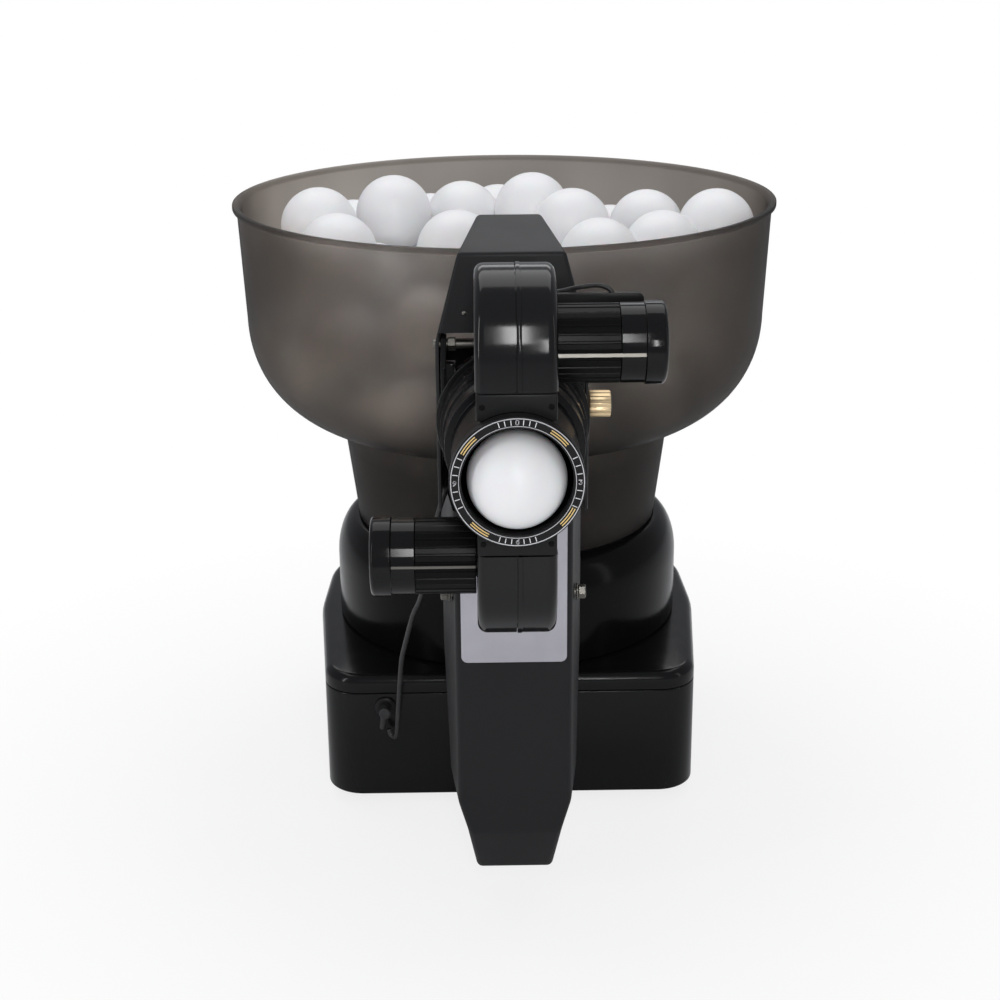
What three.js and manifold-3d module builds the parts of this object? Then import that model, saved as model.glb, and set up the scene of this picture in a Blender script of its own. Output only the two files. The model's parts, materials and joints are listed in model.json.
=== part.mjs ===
// Table tennis robot: a ball hopper on a turntable that swings from side to side on a low base, and in
// front of it a column that carries a tilting head with two spinning wheels, which throw the balls.
// Millimetres. X to the right, Y to the back, Z up. The origin lies on the swing axis, in the plane of
// the base's underside.
import * as THREE from "three";
import { mergeVertices } from "three/addons/utils/BufferGeometryUtils.js";
import Module from "manifold-3d";

const wasm = await Module();
wasm.setup();

// Clearances
const gap = 0.3;
const overrun = 4;
const runningGap = 1;

// Base: a low box with a lid, narrower at the front
const baseHeight = 69.5;
const baseFrontHalf = 97;
const baseFrontDepth = 101.6;
const baseSideHalf = 107;
const baseRearHalf = 103;
const baseRearDepth = 104;
const baseFrontCorner = 20;
const baseSideCorner = 120;
const baseRearCorner = 62;
const baseWall = 2.5;
const baseEdge = 5;
const lidHeight = 9.7;
const lidHole = 38;
const bottomPlate = 3;
const footRadius = 10;
const footHeight = 6.5;
const footInset = 27;

// What the base holds
const boardLength = 92;
const boardWidth = 62;
const boardThickness = 1.6;
const boardStandoff = 6;
const standoffRadius = 4;
const panMotorRadius = 18.5;
const panMotorHeight = 40;
const panShaftRadius = 3;
const gearTeeth = 44;
const pinionTeeth = 10;
const gearModule = 2.4;
const gearThickness = 6.5;
const gearBacklash = 0.5;
const switchWidth = 21;
const switchHeight = 15;
const switchDepth = 17;
const switchBezel = 2;
const rockerThickness = 5;
const rockerAngle = 8;
const inletRadius = 6;
const inletDepth = 14;
const inletFlange = 9;
const inletPin = 1.3;
const rearFittingSpread = panMotorRadius + switchWidth / 2 + switchBezel + runningGap;

// Turntable: bearing ring, plate with hollow spindle, gear, round collar
const bearingInner = 60;
const bearingOuter = 74;
const bearingThickness = 2.9;
const turntableThickness = 3;
const spindleOuter = 27;
const spindleInner = 23;
const spindleLength = 27;
const spindleFlange = 31;
const spindleFlangeThickness = 3;
const collarRadius = 95.5;
const collarShoulderHeight = 34;
const collarShoulderRise = 23;
const collarShoulderRun = 12;
const collarWall = 2.5;

// Ball feed: pan, star wheel and its motor
const panWall = 2.4;
const panFloor = 2.5;
const starRadius = 77;
const starThickness = 29;
const starPockets = 5;
const pocketRadius = 23;
const pocketOrbit = 56;
const starHub = 19;
const starConeRise = 17;
const starConeTip = 6;
const feedShaftRadius = 4;
const feedShaftLength = 50;
const feedMotorRadius = 18.5;
const feedMotorHeight = 42;

// Hopper: a round neck that opens into a deep bowl
const neckBottom = 83;
const neckTop = 88.4;
const neckHeight = 41;
const bellyRadius = 141;
const bellyRise = 62;
const rimRadius = 143;
const bowlHeight = 175.7;
const bowlWall = 2.6;
const rimBead = 1.2;
const rimBeadHeight = 5;

// Ball path from the feed pan to the head
const tubeInner = 21.3;
const tubeWall = 2;
const lowerBend = 40;
const upperBend = 24;

// Column: a folded cover in front, a yoke on top of it that holds the head
const columnFront = -206;
const columnRear = -150;
const columnHalf = 26.7;
const columnFlare = 0.118;
const sheet = 1.5;
const columnFoot = 10;
const footFront = -194;
const footHalf = 17.8;
const footRear = -180;
const footBendHeight = 36.8;
const footBendHalf = 22;
const footBendRear = -178;
const taperHeight = 53;
const taperRear = -174;
const flareHeight = 112;
const yokeBottom = 199;
const yokeHalf = 33.3;
const shoulderRise = 4.5;
const hoodRise = 36.9;
const yokeTopHalf = 23.2;
const yokeTopRear = -148.5;
const yokeTopRearHalf = 14.7;
const yokeTopRise = 5.5;
const plateLow = 125.5;
const plateHigh = 196;
const plateHalf = 24.2;
const plateCorner = 3;
const plateThickness = 0.9;
const lugHeight = 12;
const lugDepth = 14;
const boltHeight = 154.5;
const boltY = -193;
const boltHeadRadius = 3.3;
const boltHeadLength = 4.6;
const boltRadius = 2;

// Tilt: rod across the yoke, carrier with two ears, knob that clamps it
const pivotY = -199;
const barrelAxis = 243.1;
const pivotRise = 30.8;
const pivotZ = barrelAxis + pivotRise;
const yokeShoulder = pivotZ + shoulderRise;
const yokeTop = yokeShoulder + hoodRise;
const rodRadius = 2;
const rodOverhang = 2.6;
const nutAcross = 5.4;
const nutLength = 3.7;
const earThickness = 2.5;
const earRear = -180.5;
const earTop = 5.4;
const windowRise = 6.6;
const ribDepth = 4;
const earBottom = barrelAxis - ribDepth * 2;
const earGap = 0.9;
const carrierRadius = 33.3;
const carrierBore = 24;
const carrierFront = -215.5;
const carrierRear = -209.5;
const knobDrop = 27.7;
const knobRadius = 6;
const knobLength = 9.5;
const knobRidges = 11;
const knobRidge = 0.6;
const screwRadius = 2;
const tiltDown = 5;
const tiltUp = 25;
const lockNutLength = 3.2;

// Head: barrel, dial, wheels, their housings and motors
const wheelPlane = -256;
const wheelSpread = 45.4;
const barrelBore = 22.5;
const barrelFront = 26.2;
const barrelRing = 29.2;
const barrelRear = 31.5;
const barrelRingAhead = -7;
const barrelRingWidth = 3;
const dialFace = -296;
const dialThickness = 5.7;
const dialRadius = 26.8;
const dialChamfer = 0.8;
const retainerThickness = 2;
const retainerRadius = 27;
const tyreRadius = 27;
const tyreWidth = 20;
const tyreThickness = 5;
const tyreEdge = 1.5;
const hubWeb = 7;
const hubBoss = 7;
const wheelShaftRadius = 2.5;
const wheelShaftReach = 12;
const wheelShaftInMotor = 7;
const slotClearance = 1.6;
const housingRadius = 32.5;
const housingHalf = 16.3;
const housingEdge = 4;
const housingWall = 1.8;
const clampHeight = 33.6;
const clampSide = 15.9;
const motorRadius = 16.6;
const motorLength = 25;
const motorFins = 18;
const finDepth = 0.9;
const capRadius = 17.1;
const capLength = 18.6;
const capEdge = 2;
const motorBoss = 9;
const motorBossLength = 1.2;
const terminalLength = 35.8;
const terminalHeight = 24;
const terminalRise = 13.9;
const terminalThickness = 2;
const terminalInset = 1;
const headLeadRadius = 1;

// Lead from the column to the base, and its plug
const leadRadius = 1.2;
const jackX = -66;
const jackZ = 52;
const jackRadius = 4.5;
const jackFlange = 5.6;
const jackFlangeThickness = 1.5;
const jackDepth = 12;
const jackBore = 2.6;
const plugReach = 7;
const plugRadius = 3.2;
const plugBoot = 10;
const bootRadius = 2.2;
const bootLean = 10;
const leadSplit = 73;
const leadNotch = 6;
const leadNotchRise = 7;
const leadPoints = [
  [-28.5, -188.7, 207.6], [-29, -191.6, 206.2], [-31, -193, 202], [-33.2, -192.3, 195],
  [-34.8, -189.5, 187], [-38.4, -178, 163], [-44, -163, 139], [-47.8, -157, 128.4],
  [-52.2, -147, 109.8], [-54.6, -141, 98.5], [-55.9, -136, 87.3], [-57.2, -129, 73],
  [-58.6, -121, 57], [-59.7, -114.5, 44.5], [-60.6, -111, 39.4], [-62.4, -108.2, 38],
  [-63.8, -107.4, 39.6], [-64.2, -107.2, 41.8],
];

// How finely round forms are divided
const roundSteps = 36;
const middleSteps = 24;
const smallSteps = 12;
const tinySteps = 8;
const cornerSteps = 2;
const archSteps = 6;
const shoulderSteps = 3;
const bellySteps = 5;
const bendSteps = 5;
const upperLeadSteps = 16;
const lowerLeadSteps = 12;
const wireSteps = 6;
const leadSides = 8;
const hexSides = 6;
const halvings = 30;
const bevelSteps = 2;

// Colours of the pieces
const finishes = {
  glossBlack: { color: 0x141415, roughness: 0.22, metalness: 0.0 },
  satinBlack: { color: 0x1f1f21, roughness: 0.45, metalness: 0.1 },
  sheetBlack: { color: 0x2b2b2d, roughness: 0.5, metalness: 0.3 },
  smoke: { color: 0x7a7066, roughness: 0.4, metalness: 0.0 },
  rubber: { color: 0x202020, roughness: 0.9, metalness: 0.0 },
  tyre: { color: 0x8c3a22, roughness: 0.85, metalness: 0.0 },
  steel: { color: 0xb9bcc0, roughness: 0.3, metalness: 0.9 },
  brass: { color: 0xc8a060, roughness: 0.35, metalness: 0.9 },
  silver: { color: 0xc4c4cc, roughness: 0.35, metalness: 0.6 },
  nylon: { color: 0xe6e4dc, roughness: 0.5, metalness: 0.0 },
  board: { color: 0x1c5a34, roughness: 0.5, metalness: 0.0 },
};

// Solids

function closed(geometry) {
  const plain = geometry.clone();
  plain.deleteAttribute("normal");
  plain.deleteAttribute("uv");
  const merged = mergeVertices(plain, gap / 1000);
  const place = merged.attributes.position;
  const index = merged.index.array;
  const a = new THREE.Vector3();
  const b = new THREE.Vector3();
  const c = new THREE.Vector3();
  let volume = 0;
  for (let i = 0; i < index.length; i += 3) {
    a.fromBufferAttribute(place, index[i]);
    b.fromBufferAttribute(place, index[i + 1]);
    c.fromBufferAttribute(place, index[i + 2]);
    volume += a.dot(b.cross(c));
  }
  if (volume < 0) {
    for (let i = 0; i < index.length; i += 3) {
      [index[i], index[i + 1]] = [index[i + 1], index[i]];
    }
  }
  return merged;
}

function solid(geometry) {
  const merged = closed(geometry);
  const mesh = new wasm.Mesh({
    numProp: 3,
    vertProperties: new Float32Array(merged.attributes.position.array),
    triVerts: new Uint32Array(merged.index.array),
  });
  return new wasm.Manifold(mesh);
}

function geometryOf(manifold) {
  const mesh = manifold.getMesh();
  const geometry = new THREE.BufferGeometry();
  geometry.setAttribute("position", new THREE.BufferAttribute(mesh.vertProperties, 3));
  geometry.setIndex(new THREE.BufferAttribute(mesh.triVerts, 1));
  return geometry;
}

function cut(body, ...tools) {
  return geometryOf(tools.reduce((rest, tool) => rest.subtract(solid(tool)), solid(body)));
}

function join(...bodies) {
  return geometryOf(bodies.slice(1).reduce((sum, body) => sum.add(solid(body)), solid(bodies[0])));
}

function common(body, tool) {
  return geometryOf(solid(body).intersect(solid(tool)));
}

// Shapes

function box(x0, x1, y0, y1, z0, z1) {
  const geometry = new THREE.BoxGeometry(x1 - x0, y1 - y0, z1 - z0);
  return geometry.translate((x0 + x1) / 2, (y0 + y1) / 2, (z0 + z1) / 2);
}

// A profile of [radius, height] pairs turned about Z, about Y or about X
function turnedZ(profile, steps) {
  return turnedY(profile, steps).rotateX(Math.PI / 2);
}

function turnedY(profile, steps) {
  const points = profile.map(([r, h]) => new THREE.Vector2(r, h));
  return new THREE.LatheGeometry(points, steps);
}

function turnedX(profile, steps) {
  return turnedY(profile, steps).rotateZ(-Math.PI / 2);
}

function rod(radius, low, high) {
  return [[0, low], [radius, low], [radius, high], [0, high]];
}

function ring(inner, outer, low, high) {
  return [[inner, low], [outer, low], [outer, high], [inner, high], [inner, low]];
}

// A plate whose outline lies in the plane of Y and Z, from x0 to x1
function plateX(shape, x0, x1, bevel = 0, arcs = cornerSteps) {
  const geometry = new THREE.ExtrudeGeometry(shape, extrusion(x1 - x0, bevel, arcs));
  geometry.translate(0, 0, x0 + bevel);
  const turn = new THREE.Matrix4().makeBasis(
    new THREE.Vector3(0, 1, 0), new THREE.Vector3(0, 0, 1), new THREE.Vector3(1, 0, 0));
  return geometry.applyMatrix4(turn);
}

// A plate whose outline lies in the plane of X and Z, from y0 to y1
function plateY(shape, y0, y1) {
  const geometry = new THREE.ExtrudeGeometry(shape, extrusion(y1 - y0, 0));
  return geometry.rotateX(Math.PI / 2).translate(0, y1, 0);
}

function plateZ(shape, z0, z1, bevel = 0, arcs = cornerSteps) {
  return new THREE.ExtrudeGeometry(shape, extrusion(z1 - z0, bevel, arcs)).translate(0, 0, z0 + bevel);
}

function extrusion(length, bevel, arcs = cornerSteps) {
  return {
    depth: length - 2 * bevel,
    steps: 1,
    curveSegments: arcs,
    bevelEnabled: bevel > 0,
    bevelThickness: bevel,
    bevelSize: bevel,
    bevelOffset: -bevel,
    bevelSegments: bevelSteps,
  };
}

// An outline through corners [x, y, radius], moved inwards by inset; the corners run anticlockwise
function roundedOutline(corners, inset = 0) {
  const count = corners.length;
  const at = (i) => corners[(i + count) % count];
  const moved = corners.map(([x, y, r], i) => {
    const before = edgeNormal(at(i - 1), at(i));
    const after = edgeNormal(at(i), at(i + 1));
    const sum = before.clone().add(after);
    const shift = sum.multiplyScalar(inset / (1 + before.dot(after)));
    return { point: new THREE.Vector2(x, y).add(shift), radius: Math.max(r - inset, gap) };
  });
  const shape = new THREE.Shape();
  moved.forEach(({ point, radius }, i) => {
    const back = moved[(i + count - 1) % count].point.clone().sub(point).normalize();
    const on = moved[(i + 1) % count].point.clone().sub(point).normalize();
    const half = Math.acos(THREE.MathUtils.clamp(back.dot(on), -1, 1)) / 2;
    const start = point.clone().addScaledVector(back, radius / Math.tan(half));
    const middle = back.clone().add(on).normalize().multiplyScalar(radius / Math.sin(half)).add(point);
    const end = point.clone().addScaledVector(on, radius / Math.tan(half));
    const from = start.clone().sub(middle).angle();
    const to = end.clone().sub(middle).angle();
    if (i === 0) {
      shape.moveTo(start.x, start.y);
    } else {
      shape.lineTo(start.x, start.y);
    }
    shape.absarc(middle.x, middle.y, radius, from, to, false);
  });
  shape.closePath();
  return shape;
}

function edgeNormal([x0, y0], [x1, y1]) {
  const along = new THREE.Vector2(x1 - x0, y1 - y0).normalize();
  return new THREE.Vector2(-along.y, along.x);
}

function rectangle(x0, x1, y0, y1, radius) {
  return roundedOutline([[x0, y0, radius], [x1, y0, radius], [x1, y1, radius], [x0, y1, radius]]);
}

// A closed body through rings of four corners each
function loft(rings) {
  const points = rings.flat().map((p) => new THREE.Vector3(...p));
  const count = rings[0].length;
  const faces = [];
  for (let k = 0; k + 1 < rings.length; k += 1) {
    for (let i = 0; i < count; i += 1) {
      const a = k * count + i;
      const b = k * count + (i + 1) % count;
      faces.push(a, b, b + count, a, b + count, a + count);
    }
  }
  const last = (rings.length - 1) * count;
  for (let i = 1; i + 1 < count; i += 1) {
    faces.push(0, i + 1, i, last, last + i, last + i + 1);
  }
  const geometry = new THREE.BufferGeometry().setFromPoints(points);
  geometry.setIndex(faces);
  return geometry;
}

// A path of several curves, each divided into its own number of steps
class Route extends THREE.Curve {
  constructor(runs) {
    super();
    this.runs = runs;
    this.steps = runs.reduce((sum, [, steps]) => sum + steps, 0);
  }

  getPoint(share, target = new THREE.Vector3()) {
    const last = this.runs.length - 1;
    let at = share * this.steps;
    const found = this.runs.findIndex(([, steps], i) => {
      const here = at <= steps || i === last;
      at -= here ? 0 : steps;
      return here;
    });
    const [curve, steps] = this.runs[found];
    return curve.getPoint(at / steps, target);
  }

  getPointAt(share, target) {
    return this.getPoint(share, target);
  }

  getTangentAt(share, target) {
    return this.getTangent(share, target);
  }
}

// A tube or rod along a path
function alongPath(section, path, steps = path.steps) {
  return new THREE.ExtrudeGeometry(section, { extrudePath: path, steps, curveSegments: tinySteps });
}

function circle(radius, hole = 0) {
  const shape = new THREE.Shape();
  shape.absarc(0, 0, radius, 0, 2 * Math.PI, false);
  if (hole > 0) {
    const opening = new THREE.Path();
    opening.absarc(0, 0, hole, 0, 2 * Math.PI, true);
    shape.holes.push(opening);
  }
  return shape;
}

const robot = new THREE.Group();

function place(parent, name, geometry, finish) {
  const body = closed(geometry);
  body.computeVertexNormals();
  const mesh = new THREE.Mesh(body, new THREE.MeshStandardMaterial(finishes[finish]));
  mesh.name = name;
  parent.add(mesh);
  return mesh;
}

// Base

const lidBottom = baseHeight - lidHeight;
const baseCorners = [
  [-baseFrontHalf, -baseFrontDepth, baseFrontCorner],
  [baseFrontHalf, -baseFrontDepth, baseFrontCorner],
  [baseSideHalf, 0, baseSideCorner],
  [baseRearHalf, baseRearDepth, baseRearCorner],
  [-baseRearHalf, baseRearDepth, baseRearCorner],
  [-baseSideHalf, 0, baseSideCorner],
];
const gearZ = lidBottom - baseWall - gearThickness / 2;
const gearRadius = gearModule * gearTeeth / 2;
const pinionRadius = gearModule * pinionTeeth / 2;
const panMotorY = gearRadius + pinionRadius + gearBacklash / 2;
const switchZ = lidBottom / 2;

function switchCut(clearance) {
  const half = switchWidth / 2 + clearance;
  const rise = switchHeight / 2 + clearance;
  return box(rearFittingSpread - half, rearFittingSpread + half, baseRearDepth - baseWall - overrun,
    baseRearDepth + overrun, switchZ - rise, switchZ + rise);
}

function baseHousing() {
  const outer = plateZ(roundedOutline(baseCorners), 0, lidBottom - gap);
  const inner = plateZ(roundedOutline(baseCorners, baseWall), -overrun, baseHeight);
  const jack = turnedY(rod(jackRadius + gap, -baseWall - overrun, baseWall + overrun), smallSteps);
  jack.translate(jackX, -baseFrontDepth, jackZ);
  const inlet = turnedY(rod(inletRadius + gap, -baseWall - overrun, baseWall + overrun), smallSteps);
  inlet.translate(-rearFittingSpread, baseRearDepth, switchZ);
  return cut(outer, inner, jack, inlet, switchCut(gap));
}

function baseLid() {
  const whole = plateZ(roundedOutline(baseCorners), lidBottom - baseEdge * 2, baseHeight, baseEdge);
  const below = box(-baseSideHalf - overrun, baseSideHalf + overrun, -baseFrontDepth - overrun,
    baseRearDepth + overrun, 0, lidBottom);
  const inside = plateZ(roundedOutline(baseCorners, baseWall), 0, baseHeight - baseWall);
  const hole = turnedZ(rod(lidHole, 0, baseHeight + overrun), middleSteps);
  return cut(whole, below, inside, hole);
}

function bottomCover() {
  const plate = plateZ(roundedOutline(baseCorners, baseWall + gap), 0, bottomPlate);
  const pillar = rod(standoffRadius, bottomPlate / 2, bottomPlate + boardStandoff);
  const pillars = boardCorners().map(([x, y]) => turnedZ(pillar, tinySteps).translate(x, y, 0));
  return join(plate, ...pillars);
}

function boardCorners() {
  const x = boardLength / 2 - standoffRadius;
  const y = boardWidth / 2 - standoffRadius;
  return [[-x, -y], [x, -y], [x, y], [-x, y]].map(([a, b]) => [a, b - boardShift]);
}

const boardShift = baseFrontDepth / 2 - boardThickness * 2;

function controlBoard() {
  const low = bottomPlate + boardStandoff + gap;
  const slab = box(-boardLength / 2, boardLength / 2, -boardShift - boardWidth / 2,
    -boardShift + boardWidth / 2, low, low + boardThickness);
  const part = boardWidth / 6;
  const chips = [-2, 0, 2].map((k) => box(k * part - part / 2, k * part + part / 2,
    -boardShift - part, -boardShift + part, low, low + boardThickness + part * (3 - Math.abs(k)) / 3));
  return join(slab, ...chips);
}

// Spur gear outline with straight-sided teeth
function gearShape(teeth, hole) {
  const pitch = gearModule * teeth / 2;
  const top = pitch + gearModule * toothShares.top;
  const root = pitch - gearModule * toothShares.root;
  const shape = new THREE.Shape();
  for (let i = 0; i < teeth; i += 1) {
    const corners = [[root, -toothShares.foot], [top, -toothShares.tip], [top, toothShares.tip],
      [root, toothShares.foot]];
    corners.forEach(([r, share], k) => {
      const angle = 2 * Math.PI * (i + share) / teeth;
      if (i + k === 0) {
        shape.moveTo(r * Math.cos(angle), r * Math.sin(angle));
      } else {
        shape.lineTo(r * Math.cos(angle), r * Math.sin(angle));
      }
    });
  }
  shape.closePath();
  shape.holes.push(new THREE.Path().absarc(0, 0, hole, 0, 2 * Math.PI, true));
  return shape;
}

const toothShares = { top: 0.8, root: 1.1, tip: 0.1, foot: 0.3 };

const base = new THREE.Group();
robot.add(base);
place(base, "base_housing", baseHousing(), "glossBlack");
place(base, "base_lid", baseLid(), "glossBlack");
place(base, "base_bottom_plate", bottomCover(), "satinBlack");
const footPlaces = {
  front_left: [footInset - baseFrontHalf, footInset - baseFrontDepth],
  front_right: [baseFrontHalf - footInset, footInset - baseFrontDepth],
  rear_left: [footInset - baseRearHalf, baseRearDepth - footInset],
  rear_right: [baseRearHalf - footInset, baseRearDepth - footInset],
};
for (const [corner, [x, y]] of Object.entries(footPlaces)) {
  const profile = [[0, 0], [footRadius, 0], [footRadius, baseEdge - footHeight],
    [footRadius - baseWall / 2, -footHeight], [0, -footHeight]];
  const foot = place(base, `foot_${corner}`, turnedZ(profile, smallSteps), "rubber");
  foot.position.set(x, y, -gap);
}
place(base, "control_board", controlBoard(), "board");

function panMotor() {
  const low = bottomPlate + gap;
  const high = low + panMotorHeight;
  const can = turnedZ(rod(panMotorRadius, low, high), smallSteps);
  const bore = turnedZ(rod(panShaftRadius + gap, high - panShaftRadius * 3, high + overrun), tinySteps);
  return cut(can, bore);
}

function panPinion() {
  const gear = plateZ(gearShape(pinionTeeth, panShaftRadius / 2), gearZ - gearThickness / 2,
    gearZ + gearThickness / 2);
  const low = bottomPlate + panMotorHeight - panShaftRadius * 2;
  return join(gear, turnedZ(rod(panShaftRadius, low, gearZ + gearThickness / 2), tinySteps));
}

place(base, "pan_motor", panMotor(), "steel").position.set(0, panMotorY, 0);
const pinion = place(base, "pan_pinion", panPinion(), "nylon");
pinion.position.set(0, panMotorY, 0);
pinion.rotation.z = -Math.PI / 2 + Math.PI / pinionTeeth;

function switchFrame() {
  const half = switchWidth / 2;
  const rise = switchHeight / 2;
  const bezel = box(-half - switchBezel, half + switchBezel, gap, switchBezel, -rise - switchBezel,
    rise + switchBezel);
  const well = box(-half, half, -switchDepth, switchBezel, -rise, rise);
  const cutter = box(-half + switchBezel, half - switchBezel, -switchDepth + switchBezel,
    switchBezel + overrun, -rise + switchBezel, rise - switchBezel);
  return cut(join(bezel, well), cutter);
}

function rocker() {
  const half = switchWidth / 2 - switchBezel - gap;
  const rise = switchHeight / 2 - switchBezel - runningGap;
  const shape = new THREE.Shape();
  shape.moveTo(-half + runningGap, -rockerThickness);
  shape.lineTo(half - runningGap, -rockerThickness);
  shape.lineTo(half - runningGap, switchBezel / 2);
  shape.lineTo(0, -switchBezel / 4);
  shape.lineTo(-half + runningGap, switchBezel / 2);
  shape.closePath();
  const geometry = new THREE.ExtrudeGeometry(shape, extrusion(rise * 2, 0)).translate(0, 0, -rise);
  return geometry;
}

place(base, "switch_frame", switchFrame(), "satinBlack")
  .position.set(rearFittingSpread, baseRearDepth, switchZ);
const rockerSwitch = place(base, "rocker_switch", rocker(), "glossBlack");
rockerSwitch.position.set(rearFittingSpread, baseRearDepth, switchZ);
rockerSwitch.rotation.z = -THREE.MathUtils.degToRad(rockerAngle);

function powerInlet() {
  const sleeve = turnedY([[0, -inletDepth], [inletRadius, -inletDepth], [inletRadius, gap],
    [inletFlange, gap], [inletFlange, switchBezel], [inletRadius - switchBezel, switchBezel],
    [inletRadius - switchBezel, -inletDepth + switchBezel], [inletPin, -inletDepth + switchBezel],
    [inletPin, 0], [0, 0]], smallSteps);
  return sleeve;
}

place(base, "power_inlet", powerInlet(), "satinBlack")
  .position.set(-rearFittingSpread, baseRearDepth, switchZ);

// Turntable

const bearingTop = baseHeight + gap + bearingThickness;
const tableBottom = bearingTop + gap;
const tableTop = tableBottom + turntableThickness;
const collarBottom = baseHeight + runningGap;
const collarShoulder = collarBottom + collarShoulderHeight;
const collarTop = collarShoulder + collarShoulderRise;
const feedFloor = tableTop + gap + panFloor;
const neckBase = collarTop + gap * 2;
const panInner = neckBottom - bowlWall;
const tubeOuter = tubeInner + tubeWall;
const tubeZ = feedFloor - gap + tubeInner;

const turntable = new THREE.Group();
robot.add(turntable);

function turntablePlate() {
  const low = tableBottom - spindleLength;
  const edge = collarRadius - collarWall - gap * 2;
  const profile = [
    [spindleInner, low], [spindleFlange, low], [spindleFlange, low + spindleFlangeThickness],
    [spindleOuter, low + spindleFlangeThickness], [spindleOuter, tableBottom],
    [edge, tableBottom], [edge, tableTop],
    [feedShaftRadius + gap, tableTop], [feedShaftRadius + gap, tableBottom], [spindleInner, tableBottom],
    [spindleInner, low],
  ];
  return turnedZ(profile, middleSteps);
}

function collarProfile(inset) {
  const points = [[collarRadius - inset, collarBottom]];
  const run = collarShoulderRun - inset / 2;
  const rise = collarShoulderRise - inset;
  for (let i = 0; i <= shoulderSteps; i += 1) {
    const angle = i / shoulderSteps * Math.PI / 2;
    const inwards = run * (1 - Math.cos(angle));
    points.push([collarRadius - inset - inwards, collarShoulder + rise * Math.sin(angle)]);
  }
  return points;
}

function collar() {
  const outside = collarProfile(0);
  const inside = collarProfile(collarWall).reverse();
  const opening = neckBottom + gap;
  outside[outside.length - 1][0] = opening;
  const profile = [...outside, [opening, collarTop - collarWall], ...inside.slice(1), outside[0]];
  const shell = turnedZ(profile, roundSteps);
  const window = turnedY(rod(tubeOuter + gap, -collarRadius - overrun, 0), middleSteps);
  return cut(shell, window.translate(0, 0, tubeZ));
}

function feedPan() {
  const wall = panInner + panWall;
  const low = tableTop + gap;
  const profile = [[feedShaftRadius + gap, low], [wall, low], [wall, neckBase - gap],
    [panInner, neckBase - gap], [panInner, feedFloor], [feedShaftRadius + gap, feedFloor],
    [feedShaftRadius + gap, low]];
  const window = turnedY(rod(tubeInner, -collarRadius, -panInner / 2), middleSteps).translate(0, 0, tubeZ);
  return cut(turnedZ(profile, middleSteps), window);
}

function starWheel() {
  const low = feedFloor + runningGap / 2;
  const top = low + starThickness;
  const disc = turnedZ([[0, low], [starRadius, low], [starRadius, top], [starHub * 2, top],
    [starHub, top + starConeRise / 2], [starConeTip, top + starConeRise], [0, top + starConeRise]],
  roundSteps);
  const pockets = [];
  for (let i = 0; i < starPockets; i += 1) {
    const angle = 2 * Math.PI * i / starPockets - Math.PI / 2;
    const pocket = turnedZ(rod(pocketRadius, low - overrun, top + starConeRise), smallSteps);
    pockets.push(pocket.translate(pocketOrbit * Math.cos(angle), pocketOrbit * Math.sin(angle), 0));
    const mouth = box(pocketOrbit, starRadius + overrun, -pocketRadius, pocketRadius, low - overrun,
      top + starConeRise);
    pockets.push(mouth.rotateZ(angle));
  }
  const bore = turnedZ(rod(feedShaftRadius + gap, low - overrun, low + starThickness / 2 + gap), smallSteps);
  return cut(disc, ...pockets, bore);
}

place(turntable, "turntable_bearing",
  turnedZ(ring(bearingInner, bearingOuter, baseHeight + gap, bearingTop), middleSteps), "nylon");
place(turntable, "turntable_plate", turntablePlate(), "satinBlack");
place(turntable, "turntable_gear",
  plateZ(gearShape(gearTeeth, spindleOuter + gap), gearZ - gearThickness / 2, gearZ + gearThickness / 2,
    0, middleSteps / 2), "nylon");
place(turntable, "turntable_collar", collar(), "glossBlack");
place(turntable, "feed_pan", feedPan(), "satinBlack");
place(turntable, "star_wheel", starWheel(), "satinBlack");
const shaftTop = feedFloor + runningGap / 2 + starThickness / 2;
place(turntable, "feed_shaft",
  turnedZ(rod(feedShaftRadius, shaftTop - feedShaftLength, shaftTop), smallSteps), "steel");
const feedMotorTop = tableBottom - gap;
place(turntable, "feed_motor", cut(
  turnedZ(rod(feedMotorRadius, feedMotorTop - feedMotorHeight, feedMotorTop), smallSteps),
  turnedZ(rod(feedShaftRadius + gap, shaftTop - feedShaftLength - gap, feedMotorTop + overrun), smallSteps),
), "steel");

// Hopper bowl: outline from the neck's foot to the rim, with the belly as a curve between the two

function bowlOutline(inset) {
  const neckEnd = neckBase + neckHeight;
  const bellyEnd = neckEnd + bellyRise;
  const curve = new THREE.CubicBezierCurve(
    new THREE.Vector2(neckTop, neckEnd),
    new THREE.Vector2(neckTop + (bellyRadius - neckTop) * bowlShares.outRun,
      neckEnd + bellyRise * bowlShares.outRise),
    new THREE.Vector2(bellyRadius, bellyEnd - bellyRise * bowlShares.turn),
    new THREE.Vector2(bellyRadius, bellyEnd));
  const points = [[neckBottom - inset, neckBase]];
  const spot = new THREE.Vector2();
  const slope = new THREE.Vector2();
  for (let i = 0; i <= bellySteps; i += 1) {
    curve.getPoint(i / bellySteps, spot);
    curve.getTangent(i / bellySteps, slope);
    points.push([spot.x - inset * slope.y, spot.y + inset * slope.x]);
  }
  points.push([rimRadius - inset, neckBase + bowlHeight - rimBeadHeight]);
  return points;
}

const quarterShare = 0.5523;
const bowlShares = { outRun: 0.55, outRise: 0.16, turn: 0.5 };

function hopperBowl() {
  const outside = bowlOutline(0);
  const inside = bowlOutline(bowlWall).reverse();
  const top = neckBase + bowlHeight;
  const rim = [[rimRadius + rimBead, top - rimBeadHeight + rimBead], [rimRadius + rimBead, top - rimBead / 2],
    [rimRadius + rimBead / 2, top], [rimRadius - bowlWall, top]];
  return turnedZ([...outside, ...rim, ...inside, outside[0]], roundSteps);
}

place(turntable, "hopper_bowl", hopperBowl(), "smoke");

// Ball path: out of the feed pan, up the column and into the head

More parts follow.
